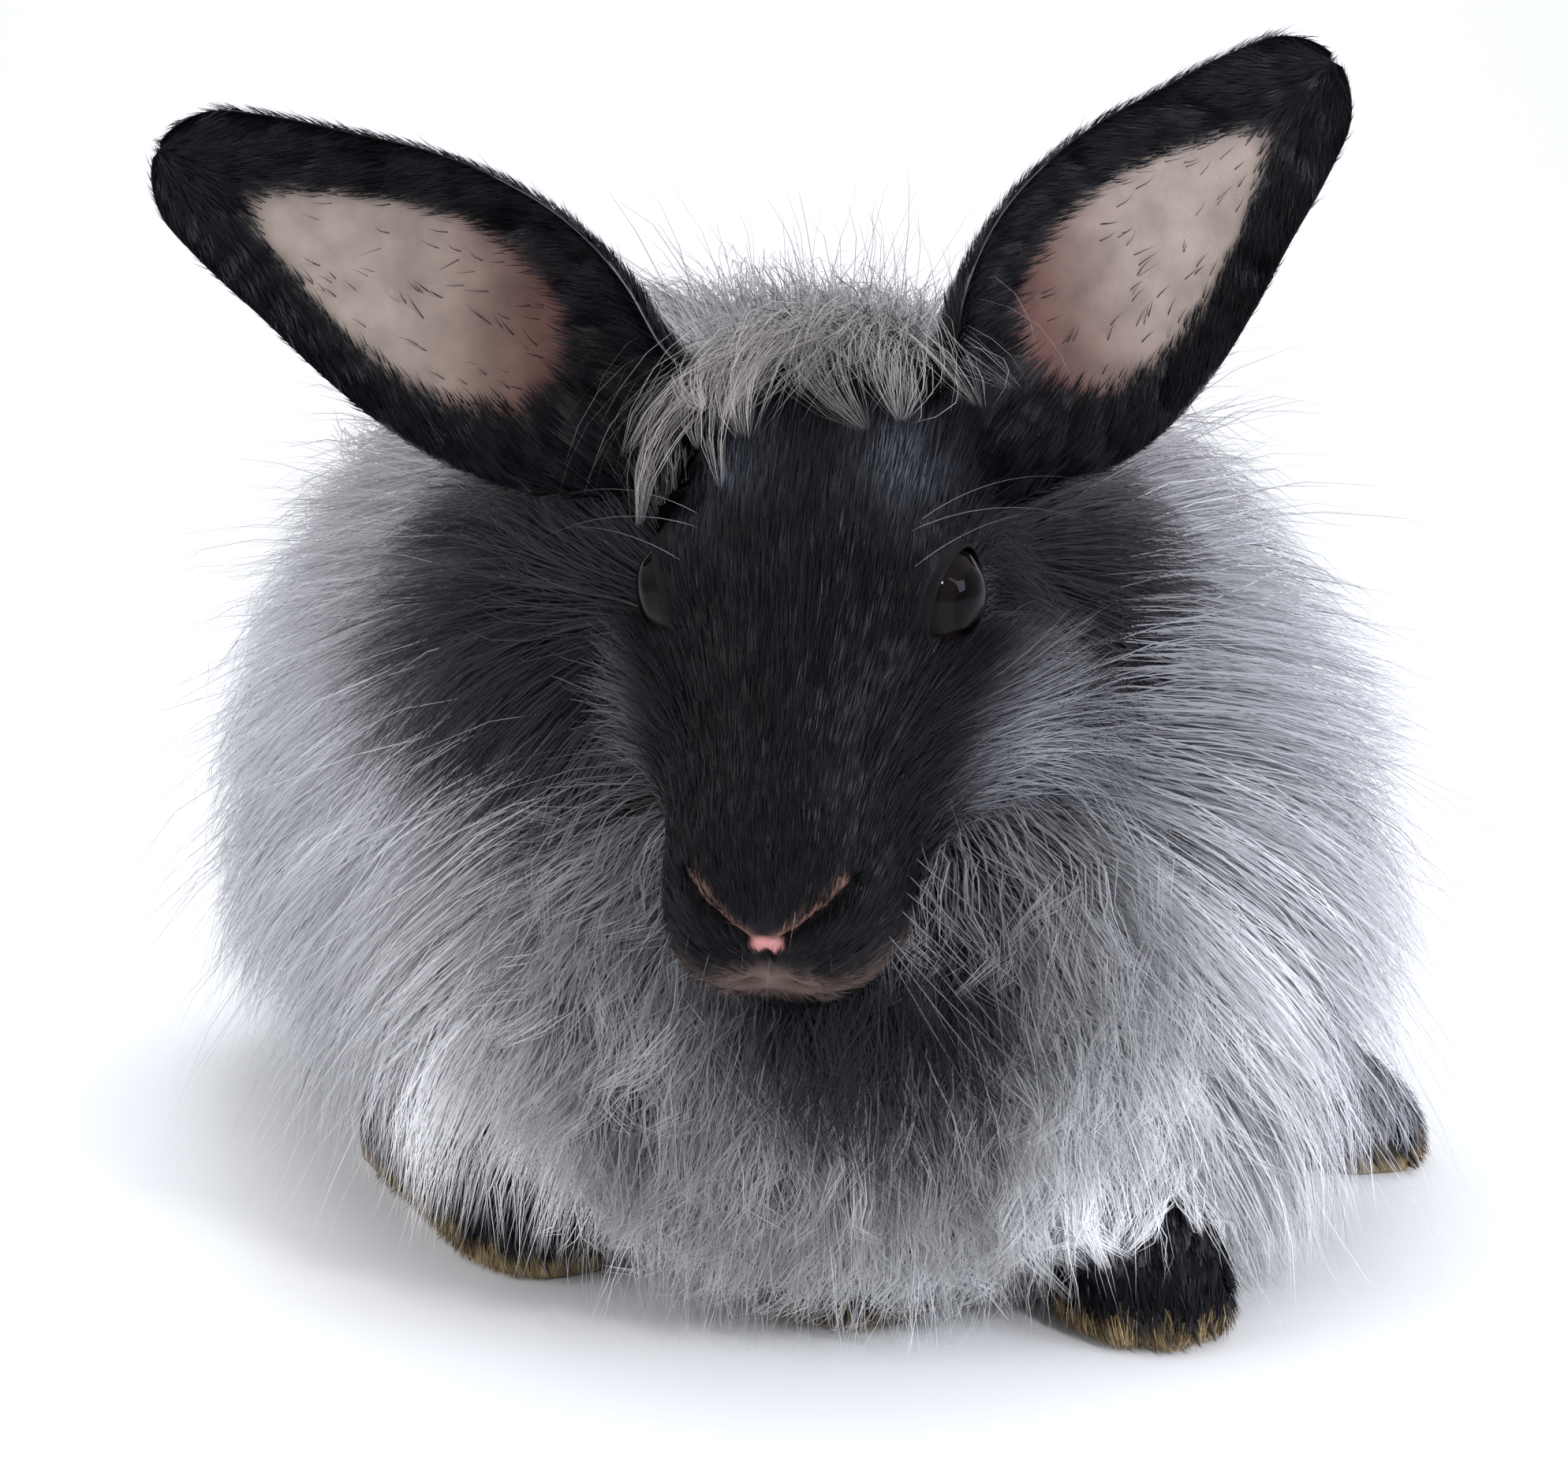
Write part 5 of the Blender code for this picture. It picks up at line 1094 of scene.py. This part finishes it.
for name, turn_span in (("left", (-0.6 * np.pi, 0.5 * np.pi)), ("right", (0.5 * np.pi, 1.6 * np.pi))):
    coat(f"flank_wool_{name}", lambda u, v: trunk_form(u, v, -WOOL_ROOT), ((-100.0, 136.0), turn_span), 22000,
         trunk_style, wool_tint, angora_wool, keep=trunk_keep, width=0.34, group=(22, 10), pull=(0.6, 0.6),
         curl=(2.2, 38.0), fray=(0.22, 0.14), frizz=0.4)


def tail_style(root, normal, along):
    """Wool swept to the tip of the tail and up."""
    lie = TAIL_BACK + np.array([0.0, 0.0, 0.8])
    return lie, np.full(len(root), 29.0), rises(root, 48.0, 0.0), np.zeros(len(root))


coat("tail_wool", lambda u, v: tail_form(u, v, -3.0), ((0.0, 0.97), FULL_TURN), 3600, tail_style, wool_tint,
     angora_wool, steps=4, width=0.3, frizz=0.3)

# Feet
# Short black fur over the toes, a worn tan fringe round the sole, and dark horn claws that just show in it.


def foot_style(middle):
    """Hair laid forward over the toes and down to the floor."""

    def style(root, normal, along):
        low = ease((7.0 - root[:, 2]) / 5.0)
        lie = np.array([0.0, -1.0, -0.5]) + DOWN * low[:, None] + 0.4 * low[:, None] * unit(root - middle)
        return lie, 5.5 - 1.2 * low, rises(root, 24.0 + 16.0 * low, 4.0 + 10.0 * low), np.full(len(root), 0.1)

    return style


def foot_tint(root):
    """Black fur, grey on the left hind foot, with a tan sole whose edge wanders by about a millimetre."""
    edge = 6.5 + 1.0 * np.sin(root[:, 0] * 0.9) + rng.normal(0.0, 0.6, len(root))
    black = blend(linear("#101014"), linear("#222228"), rng.random(len(root)) ** 2)
    black = blend(black, linear("#8f8f96"), ease((root[:, 0] - 75.0) / 12.0))
    tan = linear("#a8926c") * rng.uniform(0.6, 1.3, (len(root), 1))
    tan_share = ease((edge - root[:, 2]) / 1.6)
    return blend(black, tan * 0.7, tan_share), blend(black * 1.3, tan, tan_share)


def add_foot(label, form, spans, middle):
    """The short coat of one foot."""
    coat(f"{label}_fur", form, spans, 6500, foot_style(np.array(middle)), foot_tint, guard_hair, steps=2,
         width=0.24, group=(18, 7), pull=(0.2, 0.4), fray=(0.15, 0.15))


for side_name, (centre, yaw) in FOREPAWS.items():
    add_foot(f"forepaw_{side_name}", lambda u, v: forepaw_form(u, v, centre, yaw, -1.0),
             ((0.8, 40.0), FULL_TURN), (*centre, 4.0))
for side_name, (toe, heel) in HIND_FEET.items():
    add_foot(f"hind_foot_{side_name}", lambda u, v: hind_form(u, v, toe, heel, -1.0) + (0, 0, 0.5),
             ((0.01, 0.8), np.radians((-19.0, 199.0))), (*(0.5 * np.add(toe, heel)), 4.0))


def sleeve_style(root, normal, along):
    """Wool that hangs over the wrist."""
    return DOWN + 0.4 * normal, np.full(len(root), 14.0), rises(root, 44.0, 4.0), np.full(len(root), 0.4)


for side_name, (centre, yaw) in FOREPAWS.items():
    coat(f"sleeve_wool_{side_name}", lambda u, v: forepaw_form(u, v, centre, yaw), ((22.0, 40.0), FULL_TURN),
         2200, sleeve_style, wool_tint, angora_wool, width=0.28, group=(8, 12), pull=(0.3, 0.85),
         curl=(2.0, 15.0), frizz=0.3)

claw_horn, tree, shader = new_material("claw_horn")
where = node(tree, "ShaderNodeTexCoord")
grain = node(tree, "ShaderNodeTexNoise", {"Scale": 900.0, "Detail": 3.0}, {"Vector": where.outputs["Object"]})
horn = node(tree, "ShaderNodeValToRGB", {}, {"Fac": grain.outputs["Fac"]})
horn.color_ramp.elements[0].color = (*linear("#1d1815"), 1.0)
horn.color_ramp.elements[1].color = (*linear("#4d4038"), 1.0)
tree.links.new(horn.outputs["Color"], shader.inputs["Base Color"])
shader.inputs["Roughness"].default_value = 0.35


def claws(name, toes, way):
    """Four curved cones: a circle that shrinks along a line that leaves the toe and dips as its square."""
    share = np.linspace(0.0, 1.0, 9)[:, None]
    turn = np.linspace(0.0, 2.0 * np.pi, 12, endpoint=False)[None, :]
    side = unit(np.cross(way, (0.0, 0.0, 1.0)))
    for number, toe in enumerate(toes, 1):
        middle = toe + share[..., None] * way * 6.5 + share[..., None] ** 2 * DOWN * 2.0
        radius = (1.0 - 0.85 * share**1.5)[..., None]
        oval = np.cos(turn)[..., None] * side * 0.8 + np.sin(turn)[..., None] * (0, 0, 1.1)
        ring = middle + radius * oval
        mesh = grid_mesh(f"{name}_{number}", ring)
        mesh.shade_smooth()
        claw = add_object(f"{name}_{number}", mesh, claw_horn)
        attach(claw, "root")


for side_name, (centre, yaw) in FOREPAWS.items():
    at = -0.5 * np.pi + 0.32 * np.array([-1.5, -0.5, 0.5, 1.5])
    toes = forepaw_form(np.full(4, 4.2), at, centre, yaw, -3.5)
    claws(f"claw_fore_{side_name}", toes, turned(0.0, yaw + 10.0) @ (0.0, -1.0, 0.0))
for side_name, (toe, heel) in HIND_FEET.items():
    way = np.append(unit(np.subtract(toe, heel)), 0.0)
    spread = np.array([-5.4, -1.8, 1.8, 5.4])[:, None] * np.cross((0.0, 0.0, 1.0), way)
    claws(f"claw_hind_{side_name}", np.array([*toe, 4.0]) + spread + way * -2.5, way)

# Whiskers
# Stiff tapering bristles from the pads beside the nose, with a few above each eye.


def bristles(name, back, angle, way, length, rise, width, sag):
    """Bristles from places on the head's skin, bent evenly between the angles of their rise."""
    root = head_skin(back, angle)
    normal = unit(root - off_head(HEAD_MIDDLE))
    lie = unit(way - (way * normal).sum(axis=1, keepdims=True) * normal)
    lines = strand_lines(root, normal, lie, length, rise, np.full(len(root), sag), 10)
    pale, dark = np.tile(linear("#77777c"), (len(root), 1)), np.tile(linear("#2a2a2e"), (len(root), 1))
    facing = unit(normal - np.array([0.0, 1.0, 0.0]))
    place = np.stack([back / 104.0, (angle % (2.0 * np.pi)) / (2.0 * np.pi)], axis=1)
    piece = strand_piece(name, lines, facing, 0.6 * normal[:, None], np.full(len(root), width), pale, dark,
                         place, guard_hair)


for label, side in (("left", 1), ("right", -1)):
    row, column = np.divmod(np.arange(15), 5)
    back = 6.0 + 2.8 * column + rng.uniform(-0.6, 0.6, 15)
    angle = np.radians(8.0 - 12.0 * row + rng.uniform(-2.0, 2.0, 15))
    way = np.stack([np.full(15, 1.0 * side), rng.uniform(-0.1, 0.3, 15), -0.7 - 0.5 * row], axis=1)
    rise = np.radians(np.stack([rng.uniform(45.0, 62.0, 15), rng.uniform(-15.0, 10.0, 15)], axis=1))
    bristles(f"whiskers_{label}", back, angle if side > 0 else np.pi - angle, way,
             rng.uniform(42.0, 68.0, 15), rise, 0.13, 0.45)
    back, angle = np.array([48.0, 53.0, 57.0]), np.radians(np.array([48.0, 55.0, 50.0]))
    way = np.stack([np.full(3, 1.0 * side), np.array([0.5, 0.2, 0.4]), np.array([0.3, 0.0, 0.2])], axis=1)
    rise = np.radians([(62.0, 4.0), (50.0, -6.0), (56.0, 8.0)])
    bristles(f"brow_whiskers_{label}", back, angle if side > 0 else np.pi - angle, way,
             np.array([24.0, 33.0, 28.0]), rise, 0.10, 0.25)
